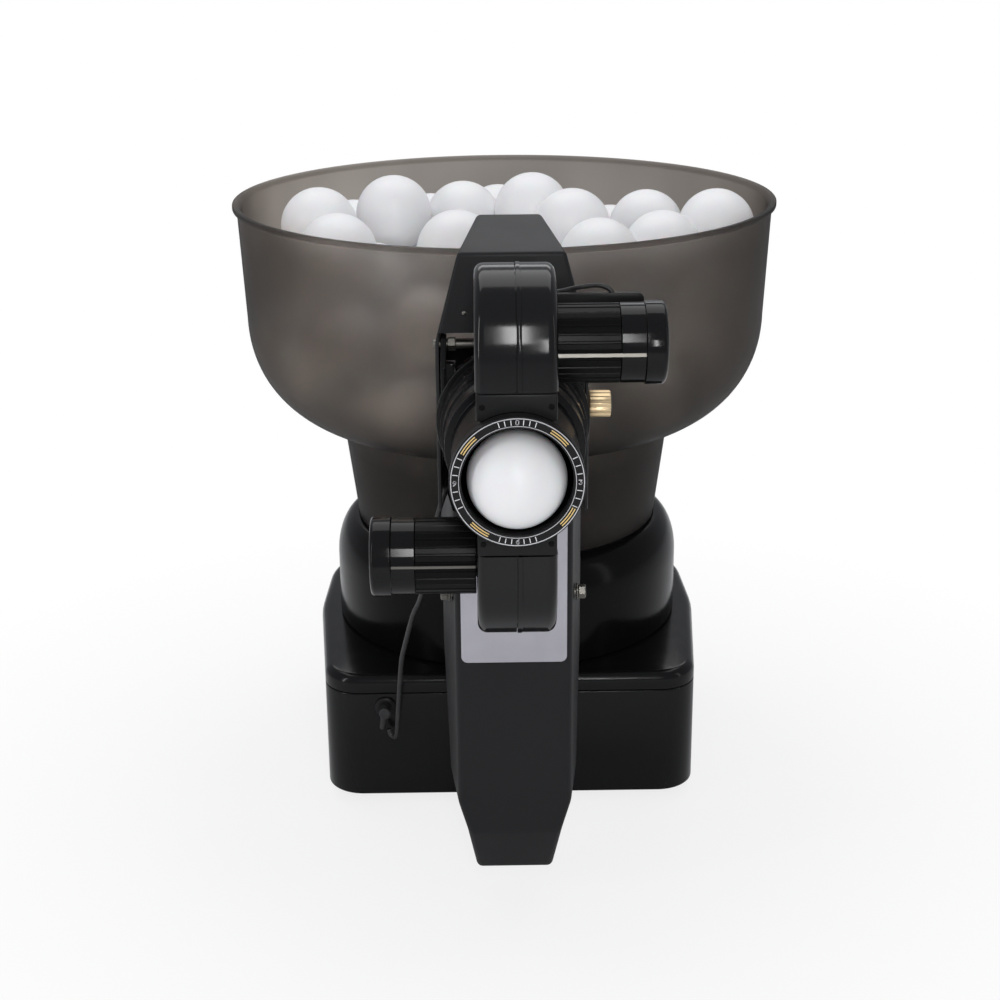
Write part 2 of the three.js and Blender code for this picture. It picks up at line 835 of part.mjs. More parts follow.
const tubeY = columnFront + sheet + gap + runningGap + tubeOuter;
const mouthY = columnFront + sheet + runningGap;
const ductStart = -panInner - panWall - gap;
const ductEnd = tubeZ + lowerBend;

function quarterBend(from, corner, to) {
  const near = new THREE.Vector3().lerpVectors(from, corner, quarterShare);
  const far = new THREE.Vector3().lerpVectors(to, corner, quarterShare);
  return new THREE.CubicBezierCurve3(from, near, far, to);
}

function ductPath() {
  const start = new THREE.Vector3(0, ductStart, tubeZ);
  const bend = new THREE.Vector3(0, tubeY + lowerBend, tubeZ);
  const corner = new THREE.Vector3(0, tubeY, tubeZ);
  const end = new THREE.Vector3(0, tubeY, ductEnd);
  return new Route([[new THREE.LineCurve3(start, bend), 1], [quarterBend(bend, corner, end), bendSteps]]);
}

function risePath() {
  const start = new THREE.Vector3(0, tubeY, ductEnd + gap);
  const bend = new THREE.Vector3(0, tubeY, barrelAxis - upperBend);
  const corner = new THREE.Vector3(0, tubeY, barrelAxis);
  const mouth = new THREE.Vector3(0, mouthY, barrelAxis);
  return new Route([[new THREE.LineCurve3(start, bend), 1], [quarterBend(bend, corner, mouth), bendSteps]]);
}

const wallAt = (y) => columnHalf + columnFlare * (y - columnFront);

function riseTube() {
  const tube = alongPath(circle(tubeOuter, tubeInner), risePath());
  const bore = turnedZ(rod(tubeInner, ductEnd - overrun, barrelAxis - upperBend), middleSteps);
  bore.translate(0, tubeY, 0);
  const side = wallAt(boltY - lugDepth / 2) - sheet - gap;
  const lower = box(-side, side, boltY - lugDepth / 2, boltY + lugDepth / 2, boltHeight - lugHeight / 2,
    boltHeight + lugHeight / 2);
  const inYoke = yokeHalf - sheet - gap;
  const lugLow = yokeBottom + lugHeight / 4;
  const upper = box(-inYoke, inYoke, tubeY - lugDepth / 2, tubeY + lugDepth / 2, lugLow,
    lugLow + lugHeight);
  const screw = turnedX(rod(boltRadius + gap, -yokeHalf, yokeHalf), tinySteps);
  screw.translate(0, boltY, boltHeight);
  return cut(join(tube, cut(join(lower, upper), bore)), screw);
}

place(turntable, "ball_duct", alongPath(circle(tubeOuter, tubeInner), ductPath()), "satinBlack");
place(turntable, "rise_tube", riseTube(), "satinBlack");

// Column cover: folded sheet that narrows and bends back at its foot

const coverTop = yokeBottom - gap;

function coverRing(z, front, half, rear, inset) {
  const rearY = inset > 0 ? rear + overrun : rear;
  const wide = half - inset + columnFlare * (rearY - front);
  return [[-half + inset, front + inset, z], [half - inset, front + inset, z], [wide, rearY, z],
    [-wide, rearY, z]];
}

function coverBody(inset) {
  return loft([
    coverRing(columnFoot + inset, footFront, footHalf, footRear, inset),
    coverRing(footBendHeight, columnFront, footBendHalf, footBendRear, inset),
    coverRing(taperHeight, columnFront, columnHalf, taperRear, inset),
    coverRing(flareHeight, columnFront, columnHalf, columnRear, inset),
    coverRing(coverTop + (inset > 0 ? overrun : 0), columnFront, columnHalf, columnRear, inset),
  ]);
}

function columnCover() {
  const screw = turnedX(rod(boltRadius + gap, -yokeHalf - overrun, yokeHalf + overrun), tinySteps);
  return cut(coverBody(0), coverBody(sheet), screw.translate(0, boltY, boltHeight));
}

place(turntable, "column_cover", columnCover(), "sheetBlack");
const plateShape = rectangle(-plateHalf, plateHalf, plateLow, plateHigh, plateCorner);
place(turntable, "name_plate",
  plateY(plateShape, columnFront - gap - plateThickness, columnFront - gap), "silver");
for (const [side, sign] of [["left", -1], ["right", 1]]) {
  const seat = wallAt(boltY + boltHeadRadius) + gap;
  const head = turnedX(rod(boltHeadRadius, 0, boltHeadLength), hexSides);
  const shank = turnedX(rod(boltRadius, -sheet * 3, boltHeadLength / 2), tinySteps);
  const bolt = place(turntable, `column_bolt_${side}`, join(head, shank), "steel");
  bolt.position.set(sign * seat, boltY, boltHeight);
  bolt.rotation.z = sign < 0 ? Math.PI : 0;
}

// Yoke: two cheeks and a hood above them

function yokeBody(inset) {
  const rear = columnRear + (inset > 0 ? overrun : 0);
  const low = yokeBottom - (inset > 0 ? overrun : 0);
  const half = yokeHalf - inset;
  const front = columnFront + inset;
  const top = yokeTop - inset;
  const topHalf = yokeTopHalf - inset;
  const rearHalf = yokeTopRearHalf - inset;
  const topRear = yokeTopRear + (inset > 0 ? overrun : 0);
  return loft([
    [[-half, front, low], [half, front, low], [half, rear, low], [-half, rear, low]],
    [[-half, front, yokeShoulder], [half, front, yokeShoulder], [half, rear, yokeShoulder],
      [-half, rear, yokeShoulder]],
    [[-topHalf, front, top], [topHalf, front, top], [rearHalf, topRear, top + yokeTopRise],
      [-rearHalf, topRear, top + yokeTopRise]],
  ]);
}

function headYoke() {
  const inner = yokeHalf - sheet;
  const window = box(-inner, inner, columnFront - overrun, columnFront + sheet * 2,
    yokeBottom - overrun, pivotZ + windowRise);
  const pivot = turnedX(rod(rodRadius + gap / 3, -yokeHalf - overrun, yokeHalf + overrun), smallSteps);
  const screw = turnedX(rod(screwRadius + gap, 0, yokeHalf + overrun), smallSteps);
  const notch = box(-yokeHalf - overrun, 0, leadPoints[2][1] - leadNotch / 2,
    leadPoints[2][1] + leadNotch / 2, yokeBottom - overrun, yokeBottom + leadNotchRise);
  return cut(yokeBody(0), yokeBody(sheet), window, notch, pivot.translate(0, pivotY, pivotZ),
    screw.translate(0, pivotY, pivotZ - knobDrop));
}

place(turntable, "head_yoke", headYoke(), "sheetBlack");
const rodEnd = yokeHalf + rodOverhang;
place(turntable, "tilt_rod", turnedX(rod(rodRadius, -rodEnd, rodEnd), smallSteps), "steel")
  .position.set(0, pivotY, pivotZ);
const earOuter = yokeHalf - sheet - earGap;
const earInner = earOuter - earThickness;

function hexNut(bore, x0, x1) {
  const body = turnedX(rod(nutAcross / Math.sqrt(3), x0, x1), hexSides);
  return cut(body, turnedX(rod(bore, x0 - overrun, x1 + overrun), smallSteps));
}

for (const [side, sign] of [["left", -1], ["right", 1]]) {
  const nut = hexNut(rodRadius + gap / 3, earInner - gap - nutLength, earInner - gap);
  const mesh = place(turntable, `rod_nut_${side}`, nut, "steel");
  mesh.position.set(0, pivotY, pivotZ);
  mesh.rotation.z = sign < 0 ? Math.PI : 0;
}

// Clamping knob: knurled brass, its screw passes the right cheek and the ear's slot into a nut

function knurledShape() {
  const shape = new THREE.Shape();
  for (let i = 0; i < knobRidges * 2; i += 1) {
    const r = knobRadius - (i % 2) * knobRidge;
    const angle = Math.PI * i / knobRidges;
    if (i === 0) {
      shape.moveTo(r, 0);
    } else {
      shape.lineTo(r * Math.cos(angle), r * Math.sin(angle));
    }
  }
  shape.closePath();
  return shape;
}

function lockKnob() {
  const seat = yokeHalf + gap;
  const grip = plateX(knurledShape(), seat, seat + knobLength);
  const screw = turnedX(rod(screwRadius, earInner - gap - lockNutLength, seat + knobLength / 2), smallSteps);
  return join(grip, screw);
}

place(turntable, "lock_knob", lockKnob(), "brass").position.set(0, pivotY, pivotZ - knobDrop);
const lockNut = hexNut(screwRadius + gap / 3, earInner - gap - lockNutLength, earInner - gap);
place(turntable, "lock_nut", lockNut, "steel").position.set(0, pivotY, pivotZ - knobDrop);

// Tilt carrier: ring round the barrel's tail, with an ear on each side

function ear(sign) {
  const x0 = sign < 0 ? -earOuter : earInner;
  const x1 = sign < 0 ? -earInner : earOuter;
  const front = carrierRear - (carrierRear - carrierFront) / 2;
  const round = earTop - gap / 2;
  const outline = roundedOutline([[front, earBottom, gap], [earRear, earBottom, round],
    [earRear, pivotZ - knobDrop / 2, round], [pivotY + earTop, pivotZ + earTop, round],
    [pivotY - earTop, pivotZ + earTop, round], [front, pivotZ - earTop * 4 / 3, gap]]);
  const plate = plateX(outline, x0, x1);
  const eye = turnedX(rod(rodRadius + gap / 3, x0 - overrun, x1 + overrun), smallSteps);
  const slot = arcSlot(x0 - overrun, x1 + overrun);
  const open = sign > 0 ? [eye.translate(0, pivotY, pivotZ), slot] : [eye.translate(0, pivotY, pivotZ)];
  const rib = box(-gap, ribDepth, front, carrierRear + ribDepth, earBottom, pivotZ - nutAcross);
  rib.scale(-sign, 1, 1).translate(sign * earInner, 0, 0);
  return join(cut(plate, ...open), rib);
}

function arcSlot(x0, x1) {
  const reach = screwRadius + gap;
  const shape = new THREE.Shape();
  const down = -Math.PI / 2;
  const beyond = (reach + gap) / knobDrop;
  const first = down - THREE.MathUtils.degToRad(tiltDown) - beyond;
  const last = down + THREE.MathUtils.degToRad(tiltUp) + beyond;
  shape.absarc(pivotY, pivotZ, knobDrop + reach, first, last, false);
  shape.absarc(pivotY, pivotZ, knobDrop - reach, last, first, true);
  shape.closePath();
  return plateX(shape, x0, x1);
}

function tiltCarrier() {
  const recess = retainerThickness + gap;
  const profile = [[carrierBore, carrierFront], [carrierRadius, carrierFront], [carrierRadius, carrierRear],
    [retainerRadius + gap, carrierRear], [retainerRadius + gap, carrierRear - recess],
    [carrierBore, carrierRear - recess], [carrierBore, carrierFront]];
  const flange = turnedY(profile, middleSteps).translate(0, 0, barrelAxis);
  const clear = turnedY(rod(retainerRadius + gap, carrierRear - recess, carrierRear + overrun), middleSteps);
  const ears = [ear(-1), ear(1)].map((body) => cut(body, turnedY(
    rod(carrierBore, carrierFront - overrun, carrierRear), middleSteps).translate(0, 0, barrelAxis)));
  return cut(join(flange, ...ears), clear.translate(0, 0, barrelAxis));
}

place(turntable, "tilt_carrier", tiltCarrier(), "glossBlack");

// Head: its own frame has the barrel's axis as Y and the wheels' plane as zero

const head = new THREE.Group();
head.position.set(0, wheelPlane, barrelAxis);
robot.add(head);
const faceY = dialFace - wheelPlane;
const barrelNose = faceY + dialThickness;
const tailY = carrierRear - retainerThickness - wheelPlane;
const shoulderY = carrierFront - gap - wheelPlane;

function barrelOutline(clearance) {
  const behind = -barrelRingAhead;
  return [
    [barrelFront + clearance, barrelNose + gap], [barrelFront + clearance, behind - barrelRingWidth],
    [barrelRing + clearance, behind - barrelRingWidth], [barrelRing + clearance, behind],
    [barrelRing - gap + clearance, behind + gap], [barrelRear + clearance, shoulderY - barrelRingWidth],
    [barrelRear + clearance, shoulderY],
  ];
}

// Half the length of the opening that a wheel needs at a height above the barrel's axis
function wheelReach(height) {
  return Math.sqrt(tyreRadius ** 2 - (wheelSpread - height) ** 2) + slotClearance;
}

function wheelSlot(front, rear, low, high) {
  const side = tyreWidth / 2 + slotClearance;
  return box(-side, side, -front, rear, low, high);
}

function barrel() {
  const tail = carrierBore - gap;
  const profile = [[barrelBore, barrelNose + gap], ...barrelOutline(0), [tail, shoulderY], [tail, tailY],
    [barrelBore, tailY], [barrelBore, barrelNose + gap]];
  const through = wheelSlot(wheelReach(barrelFront), wheelReach(barrelRear), -wheelSpread, wheelSpread);
  return cut(turnedY(profile, middleSteps), through);
}

function spinDial() {
  const inner = barrelBore + gap;
  return turnedY([[inner + dialChamfer, faceY], [dialRadius - dialChamfer, faceY],
    [dialRadius, faceY + dialChamfer], [dialRadius, barrelNose], [inner, barrelNose],
    [inner, faceY + dialChamfer], [inner + dialChamfer, faceY]], middleSteps);
}

place(head, "barrel", barrel(), "glossBlack");
place(head, "spin_dial", spinDial(), "satinBlack");
const retainer = ring(barrelBore, retainerRadius, tailY + gap, tailY + retainerThickness);
place(head, "barrel_retainer", turnedY(retainer, middleSteps), "satinBlack");

// One throwing unit above the barrel; the lower one is the same, turned half round the barrel's axis

function housingOutline(inset) {
  const side = housingRadius - inset;
  const low = clampHeight - housingEdge * 2;
  const shape = new THREE.Shape();
  shape.moveTo(-side, low);
  shape.lineTo(side, low);
  shape.lineTo(side, wheelSpread);
  shape.absarc(0, wheelSpread, side, 0, Math.PI, false);
  shape.closePath();
  return shape;
}

function housingShell() {
  const whole = plateX(housingOutline(0), -housingHalf, housingHalf, housingEdge, archSteps);
  const hollow = plateX(housingOutline(housingWall), housingWall - housingHalf, housingHalf - housingWall,
    0, archSteps);
  const far = housingRadius + overrun;
  const below = box(-far, far, -far, far, 0, clampHeight + gap);
  const bossHole = turnedX(rod(motorBoss + gap, housingHalf / 2, housingHalf + overrun), smallSteps);
  return cut(whole, hollow, below, bossHole.translate(0, 0, wheelSpread));
}

function housingHalfShell(sign) {
  const far = housingRadius + overrun;
  const x0 = sign < 0 ? -far : gap / 2;
  return common(housingShell(), box(x0, x0 + far - gap / 2, -far, far, 0, wheelSpread + far));
}

function clampPlate() {
  const block = box(-clampSide, clampSide, -housingRadius, housingRadius, barrelBore, clampHeight);
  const profile = [[0, barrelNose - overrun], [barrelFront + gap, barrelNose - overrun],
    ...barrelOutline(gap), [barrelRear + gap, shoulderY + overrun], [0, shoulderY + overrun]];
  const reach = wheelReach(clampHeight);
  return cut(block, turnedY(profile, middleSteps), wheelSlot(reach, reach, 0, clampHeight + overrun));
}

function tyre() {
  const half = tyreWidth / 2;
  const inner = tyreRadius - tyreThickness;
  return turnedX([[inner, -half], [tyreRadius - tyreEdge, -half], [tyreRadius, tyreEdge - half],
    [tyreRadius, half - tyreEdge], [tyreRadius - tyreEdge, half], [inner, half], [inner, -half]],
  middleSteps);
}

function wheelHub() {
  const half = tyreWidth / 2;
  const rim = tyreRadius - tyreThickness - gap;
  const bore = wheelShaftRadius + gap / 3;
  const web = hubWeb / 2;
  return turnedX([[bore, -half], [hubBoss, -half], [hubBoss, -web], [rim - tyreEdge, -web],
    [rim - tyreEdge, -half], [rim, -half], [rim, half], [rim - tyreEdge, half], [rim - tyreEdge, web],
    [hubBoss, web], [hubBoss, half], [bore, half], [bore, -half]], smallSteps);
}

const motorFace = housingHalf + gap;
const capStart = motorFace + motorLength + gap;

const finShares = { land: 0.55, foot: 0.65, end: 0.9 };

function motorCan() {
  const shape = new THREE.Shape();
  for (let i = 0; i < motorFins; i += 1) {
    [[motorRadius, 0], [motorRadius, finShares.land], [motorRadius - finDepth, finShares.foot],
      [motorRadius - finDepth, finShares.end]].forEach(([r, share], k) => {
      const angle = 2 * Math.PI * (i + share) / motorFins;
      if (i + k === 0) {
        shape.moveTo(r * Math.cos(angle), r * Math.sin(angle));
      } else {
        shape.lineTo(r * Math.cos(angle), r * Math.sin(angle));
      }
    });
  }
  shape.closePath();
  const can = plateX(shape, motorFace, motorFace + motorLength);
  const boss = turnedX(rod(motorBoss, motorFace - motorBossLength, motorFace + motorBossLength), smallSteps);
  const reach = motorFace + wheelShaftInMotor + gap;
  const bore = turnedX(rod(wheelShaftRadius + gap / 3, -motorFace, reach), smallSteps);
  return cut(join(can, boss), bore);
}

function motorCap() {
  const end = capStart + capLength;
  return turnedX([[0, capStart], [capRadius, capStart], [capRadius, end - capEdge],
    [capRadius - capEdge * (1 - Math.SQRT1_2), end - capEdge * (1 - Math.SQRT1_2)],
    [capRadius - capEdge, end], [0, end]], middleSteps);
}

for (const [level, turn] of [["upper", 0], ["lower", Math.PI]]) {
  const unit = new THREE.Group();
  unit.rotation.y = turn;
  head.add(unit);
  place(unit, `${level}_clamp_plate`, clampPlate(), "satinBlack");
  place(unit, `${level}_housing_inner`, housingHalfShell(1), "glossBlack");
  place(unit, `${level}_housing_outer`, housingHalfShell(-1), "glossBlack");
  const wheel = new THREE.Group();
  wheel.position.set(0, 0, wheelSpread);
  unit.add(wheel);
  place(wheel, `${level}_motor_can`, motorCan(), "satinBlack");
  place(wheel, `${level}_motor_cap`, motorCap(), "glossBlack");
  place(wheel, `${level}_tyre`, tyre(), "tyre");
  place(wheel, `${level}_hub`, wheelHub(), "nylon");
  place(wheel, `${level}_shaft`, turnedX(rod(wheelShaftRadius, -wheelShaftReach,
    motorFace + wheelShaftInMotor), smallSteps), "steel");
}

// Terminal plate behind the upper motor, and the short wires from it

const terminalFront = capRadius + gap;
place(head, "terminal_plate", box(motorFace + terminalInset, motorFace + terminalInset + terminalLength,
  terminalFront, terminalFront + terminalThickness, wheelSpread + terminalRise - terminalHeight,
  wheelSpread + terminalRise), "satinBlack");
const wirePoints = [[40.9, 18.4, 59.6], [39.6, 18.6, 62.6], [35, 19.6, 64.4], [27, 21, 63.4],
  [20, 23, 61.4], [17.1, 23.6, 61]];
const wirePath = new THREE.CatmullRomCurve3(wirePoints.map((p) => new THREE.Vector3(...p)));
place(head, "terminal_lead", alongPath(leadSection(headLeadRadius), wirePath, wireSteps), "satinBlack");

// Lead from the foot of the yoke down to a socket in the base's front; it bends where the turntable
// swings, so its upper stretch belongs to the column and its lower one to the base

function leadSection(radius) {
  const shape = new THREE.Shape();
  for (let i = 0; i < leadSides; i += 1) {
    const angle = 2 * Math.PI * i / leadSides;
    if (i === 0) {
      shape.moveTo(radius, 0);
    } else {
      shape.lineTo(radius * Math.cos(angle), radius * Math.sin(angle));
    }
  }
  shape.closePath();
  return shape;
}

// The part of a curve between two shares of its length
class Stretch extends THREE.Curve {
  constructor(whole, from, to) {
    super();
    this.whole = whole;
    this.from = from;
    this.to = to;
  }

  getPoint(share, target = new THREE.Vector3()) {
    return this.whole.getPointAt(this.from + (this.to - this.from) * share, target);
  }
}

function shareAtHeight(curve, height) {
  let low = 0;
  let high = 1;
  for (let i = 0; i < halvings; i += 1) {
    const middle = (low + high) / 2;
    if (curve.getPointAt(middle).z > height) {
      low = middle;
    } else {
      high = middle;
    }
  }
  return low;
}

const leadCurve = new THREE.CatmullRomCurve3(leadPoints.map((p) => new THREE.Vector3(...p)));
const leadLength = leadCurve.getLength();
const splitShare = shareAtHeight(leadCurve, leadSplit);
const halfGap = gap / 2 / leadLength;
const upperStretch = new Stretch(leadCurve, 0, splitShare - halfGap);
const lowerStretch = new Stretch(leadCurve, splitShare + halfGap, 1);
const leadRound = leadSection(leadRadius);
place(turntable, "lead_upper", alongPath(leadRound, upperStretch, upperLeadSteps), "satinBlack");
place(base, "lead_lower", alongPath(leadRound, lowerStretch, lowerLeadSteps), "satinBlack");

function leadJack() {
  const face = -jackFlangeThickness - gap;
  return turnedY([[0, jackDepth], [jackRadius, jackDepth], [jackRadius, -gap], [jackFlange, -gap],
    [jackFlange, face], [jackBore, face], [jackBore, jackDepth / 2], [0, jackDepth / 2]], smallSteps);
}

function leadPlug() {
  const seat = -jackFlangeThickness - gap * 2;
  const body = turnedY(rod(plugRadius, seat - plugReach, seat), tinySteps);
  const pin = turnedY(rod(jackBore - gap, seat - plugRadius, jackDepth / 2 - gap), tinySteps);
  const boot = turnedZ([[0, -plugBoot], [leadRadius + gap, -plugBoot], [bootRadius, 0], [0, 0]], tinySteps);
  boot.rotateY(-THREE.MathUtils.degToRad(bootLean));
  return join(body, pin, boot.translate(0, seat - plugReach / 2, 0));
}

place(base, "lead_jack", leadJack(), "satinBlack").position.set(jackX, -baseFrontDepth, jackZ);
place(base, "lead_plug", leadPlug(), "satinBlack").position.set(jackX, -baseFrontDepth, jackZ);

export default robot;
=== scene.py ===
"""Table tennis robot: finishes, fine surfaces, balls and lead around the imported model.

Sizes are in millimetres in the model's own frame: X to the right, Y to the back, Z up, with zero on the
turntable's swing axis in the plane of the base's underside. The camera looks along +Y. Lamps, the floor
and the coordinates inside materials are in metres.
"""
import json
import math

import bmesh
import bpy
import numpy as np
from mathutils import Matrix, Vector


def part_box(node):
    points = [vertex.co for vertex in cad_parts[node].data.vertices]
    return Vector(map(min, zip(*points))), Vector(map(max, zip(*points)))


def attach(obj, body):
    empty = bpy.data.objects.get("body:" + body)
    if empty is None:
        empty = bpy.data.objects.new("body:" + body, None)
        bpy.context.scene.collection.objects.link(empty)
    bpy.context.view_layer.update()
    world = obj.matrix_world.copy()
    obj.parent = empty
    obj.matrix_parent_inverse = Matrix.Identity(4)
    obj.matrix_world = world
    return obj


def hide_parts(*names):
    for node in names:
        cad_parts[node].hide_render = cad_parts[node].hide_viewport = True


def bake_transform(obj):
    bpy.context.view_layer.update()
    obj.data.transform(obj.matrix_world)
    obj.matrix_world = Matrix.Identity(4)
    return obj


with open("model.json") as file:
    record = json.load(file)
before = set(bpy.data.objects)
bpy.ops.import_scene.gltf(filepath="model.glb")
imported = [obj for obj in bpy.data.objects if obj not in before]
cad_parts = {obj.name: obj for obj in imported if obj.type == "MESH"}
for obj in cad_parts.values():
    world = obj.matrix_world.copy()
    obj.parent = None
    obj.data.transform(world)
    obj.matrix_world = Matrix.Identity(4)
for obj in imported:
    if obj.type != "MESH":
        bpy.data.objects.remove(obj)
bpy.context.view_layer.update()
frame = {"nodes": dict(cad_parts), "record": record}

MM = 0.001
IMAGE = 1000


def span(node):
    """A node's lowest and highest corner in millimetres."""
    low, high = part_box(node)
    return low / MM, high / MM


def middle(node):
    low, high = span(node)
    return (low + high) / 2


def placed(name, data):
    made = bpy.data.objects.new(name, data)
    bpy.context.collection.objects.link(made)
    return made


def as_mesh(name, bm):
    mesh = bpy.data.meshes.new(name)
    bm.to_mesh(mesh)
    return mesh


# Camera, as fitted to the photograph

def make_camera():
    focal_pixels = 1767.15
    sensor = 36
    place = Vector((-14.25, -944.97, 467.03)) * MM
    pitch, yaw, roll = (math.radians(a) for a in (19.58, 0.65, -0.49))
    data = bpy.data.cameras.new("camera")
    data.sensor_width = sensor
    data.lens = focal_pixels * sensor / IMAGE
    data.clip_start, data.clip_end = 0.05, 50
    camera = placed("camera", data)
    turn = (Matrix.Rotation(-yaw, 4, "Z") @ Matrix.Rotation(math.pi / 2 - pitch, 4, "X")
            @ Matrix.Rotation(roll, 4, "Z"))
    camera.matrix_world = Matrix.Translation(place) @ turn
    bpy.context.scene.camera = camera


make_camera()


# Materials: values in a material are written as expressions

class Value:
    """A socket's value; the operators add Math nodes."""

    def __init__(self, finish, socket):
        self.finish = finish
        self.socket = socket

    def _math(self, operation, *operands):
        return self.finish.node("Math", {"operation": operation}, operands)

    def __add__(self, other):
        return self._math("ADD", self, other)

    def __mul__(self, other):
        return self._math("MULTIPLY", self, other)

    def __gt__(self, other):
        return self._math("GREATER_THAN", self, other)

    def __abs__(self):
        return self._math("ABSOLUTE", self)


MATERIALS = {}


class Finish:
    """A material with one Principled shader, kept by its name."""

    def __init__(self, name, color, roughness, **fixed):
        self.material = bpy.data.materials.new(name)
        MATERIALS[name] = self.material
        self.material.use_nodes = True
        self.tree = self.material.node_tree
        self.shader = self.tree.nodes["Principled BSDF"]
        self.set("Base Color", color)
        self.set("Roughness", roughness)
        for socket, value in fixed.items():
            self.set(socket.replace("_", " ").title().replace("Ior", "IOR"), value)
        self.place = self.node("TexCoord", {}, (), "Object")

    def set(self, name, value):
        self._feed(self.shader.inputs[name], value)

    def _feed(self, socket, value):
        if isinstance(value, Value):
            self.tree.links.new(value.socket, socket)
        elif isinstance(value, (tuple, list)) and len(value) == 3 and socket.type == "RGBA":
            socket.default_value = (*value, 1)
        else:
            socket.default_value = value

    def node(self, kind, settings, inputs, output=0):
        node = self.tree.nodes.new("ShaderNode" + kind)
        for name, value in settings.items():
            setattr(node, name, value)
        pairs = inputs.items() if isinstance(inputs, dict) else enumerate(inputs)
        for key, value in pairs:
            self._feed(node.inputs[key], value)
        return Value(self, node.outputs[output])

    def noise(self, scale, detail=3.0, rough=0.5, stretch=(1, 1, 1)):
        at = self.place
        if stretch != (1, 1, 1):
            at = self.node("VectorMath", {"operation": "MULTIPLY"}, (at, stretch))
        return self.node("TexNoise", {}, {"Vector": at, "Scale": scale, "Detail": detail, "Roughness": rough},
                         "Fac")

    def ramp(self, value, low, high, start=0.0, end=1.0):
        """value taken from low..high to start..end."""
        return self.node("MapRange", {"clamp": True}, (value, low, high, start, end))

    def mix(self, share, first, second):
        return self.node("Mix", {"data_type": "RGBA"}, {0: share, 6: first, 7: second}, 2)

    def bump(self, height, distance, strength=1.0):
        """height, from 0 to 1, as relief of that depth in millimetres."""
        self.set("Normal", self.node("Bump", {}, {"Height": height, "Distance": distance * MM,
                                                  "Strength": strength}, "Normal"))

    def axes(self):
        node = self.tree.nodes.new("ShaderNodeSeparateXYZ")
        self.tree.links.new(self.place.socket, node.inputs[0])
        return [Value(self, output) for output in node.outputs]


def shade(color, factor):
    return tuple(c * factor for c in color)


def moulded(name, color, roughness, grain=0.0, smudge=0.08, ior=1.28):
    """Moulded plastic: slight flow marks, handling smudges, and a fine grain where it is not polished."""
    finish = Finish(name, color, roughness, ior=ior)
    flow = finish.noise(18, 4)
    finish.set("Base Color", finish.mix(flow, shade(color, 0.8), shade(color, 1.25)))
    marks = finish.ramp(finish.noise(60, 6, 0.65), 0.45, 0.75)
    finish.set("Roughness", marks * smudge + finish.noise(900, 2) * smudge * 0.5 + roughness)
    if grain:
        finish.bump(finish.noise(2600, 2), grain, 0.5)
    else:
        finish.bump(finish.noise(140, 2), 0.02, 0.15)


def coated_sheet(name, color, roughness):
    """Powder-coated steel: a fine even texture with a few brighter specks."""
    finish = Finish(name, color, roughness, ior=1.3)
    cloud = finish.noise(12, 5)
    specks = finish.ramp(finish.noise(3500, 1), 0.68, 0.75)
    clouded = finish.mix(cloud, shade(color, 0.85), shade(color, 1.15))
    finish.set("Base Color", finish.mix(specks * 0.35, clouded, shade(color, 3)))
    finish.set("Roughness", finish.noise(40, 5) * 0.12 + roughness)
    finish.bump(finish.noise(1500, 3), 0.03, 0.5)


def rubber(name, color, roughness=0.75):
    finish = Finish(name, color, roughness)
    dust = finish.ramp(finish.noise(220, 6, 0.7), 0.5, 0.8)
    finish.set("Base Color", finish.mix(dust * 0.3, color, tuple(c * 0.6 + 0.12 for c in color)))
    finish.set("Roughness", dust * 0.15 + roughness)
    finish.bump(finish.noise(1200, 4), 0.05, 0.5)


def metal(name, color, roughness, stretch=(1, 1, 1), lines=900):
    """Bare metal with fine tool marks; stretch squeezes the marks along one axis."""
    finish = Finish(name, color, roughness, metallic=1.0)
    marks = finish.noise(lines, 3, 0.6, stretch)
    finish.set("Base Color", finish.mix(finish.noise(70, 4), shade(color, 0.82), color))
    finish.set("Roughness", marks * 0.16 + roughness)
    finish.bump(marks, 0.012, 0.4)


def smoked():
    """Smoked translucent wall: randomly clouded, its lighter clouds partly painted light where balls behind
    would show as soft patches, and painted shade that darkens it to the right, to the back and at the neck.
    The smoke is in the wall itself, so the bowl darkens where the eye passes through more of it."""
    color = (0.86, 0.83, 0.8)
    side = 0.14
    neck_top, belly_low = 0.17, 0.205
    finish = Finish("smoked_clear", color, 0.5, transmission_weight=0.96, ior=1.15)
    finish.set("Roughness", finish.noise(25, 4) * 0.08 + finish.noise(1400, 2) * 0.04 + 0.46)
    # Random clouding, partly painted light: its lighter patches stand for balls behind the wall showing
    # through.
    clouds_and_painted_patches = finish.ramp(finish.noise(17, 1.5), 0.35, 0.65)
    across, back, up = finish.axes()
    clouded_and_painted_shade = finish.mix(clouds_and_painted_patches, shade(color, 0.76), shade(color, 1.14))
    # Painted shade: the wall darker towards the right side.
    clouded_and_painted_shade = finish.mix(finish.ramp(across, -side, side, 0, 0.65), clouded_and_painted_shade, shade(color, 0.5))
    # Painted shade: the wall darker towards the back.
    clouded_and_painted_shade = finish.mix(finish.ramp(back, 0, side, 0, 0.55), clouded_and_painted_shade, shade(color, 0.35))
    # Painted shade: the wall much darker at the neck, below the belly.
    finish.set("Base Color", finish.mix(finish.ramp(up, neck_top, belly_low), shade(color, 0.36), clouded_and_painted_shade))
    finish.bump(finish.noise(1800, 2), 0.012, 0.3)
    smoke = finish.tree.nodes.new("ShaderNodeVolumeAbsorption")
    smoke.inputs["Color"].default_value = (0.13, 0.06, 0, 1)
    smoke.inputs["Density"].default_value = 275
    finish.tree.links.new(smoke.outputs[0], finish.tree.nodes["Material Output"].inputs["Volume"])


def ball_plastic():
    """Matt celluloid white with faint scuffs."""
    color = (0.9, 0.9, 0.91)
    finish = Finish("ball_white", color, 0.42, subsurface_weight=0.15, subsurface_scale=0.004)
    scuffs = finish.ramp(finish.noise(160, 6, 0.7), 0.6, 0.8)
    finish.set("Base Color", finish.mix(scuffs * 0.25, color, (0.72, 0.72, 0.73)))
    finish.set("Roughness", scuffs * 0.2 + 0.4)
    finish.bump(finish.noise(1500, 3), 0.01, 0.3)


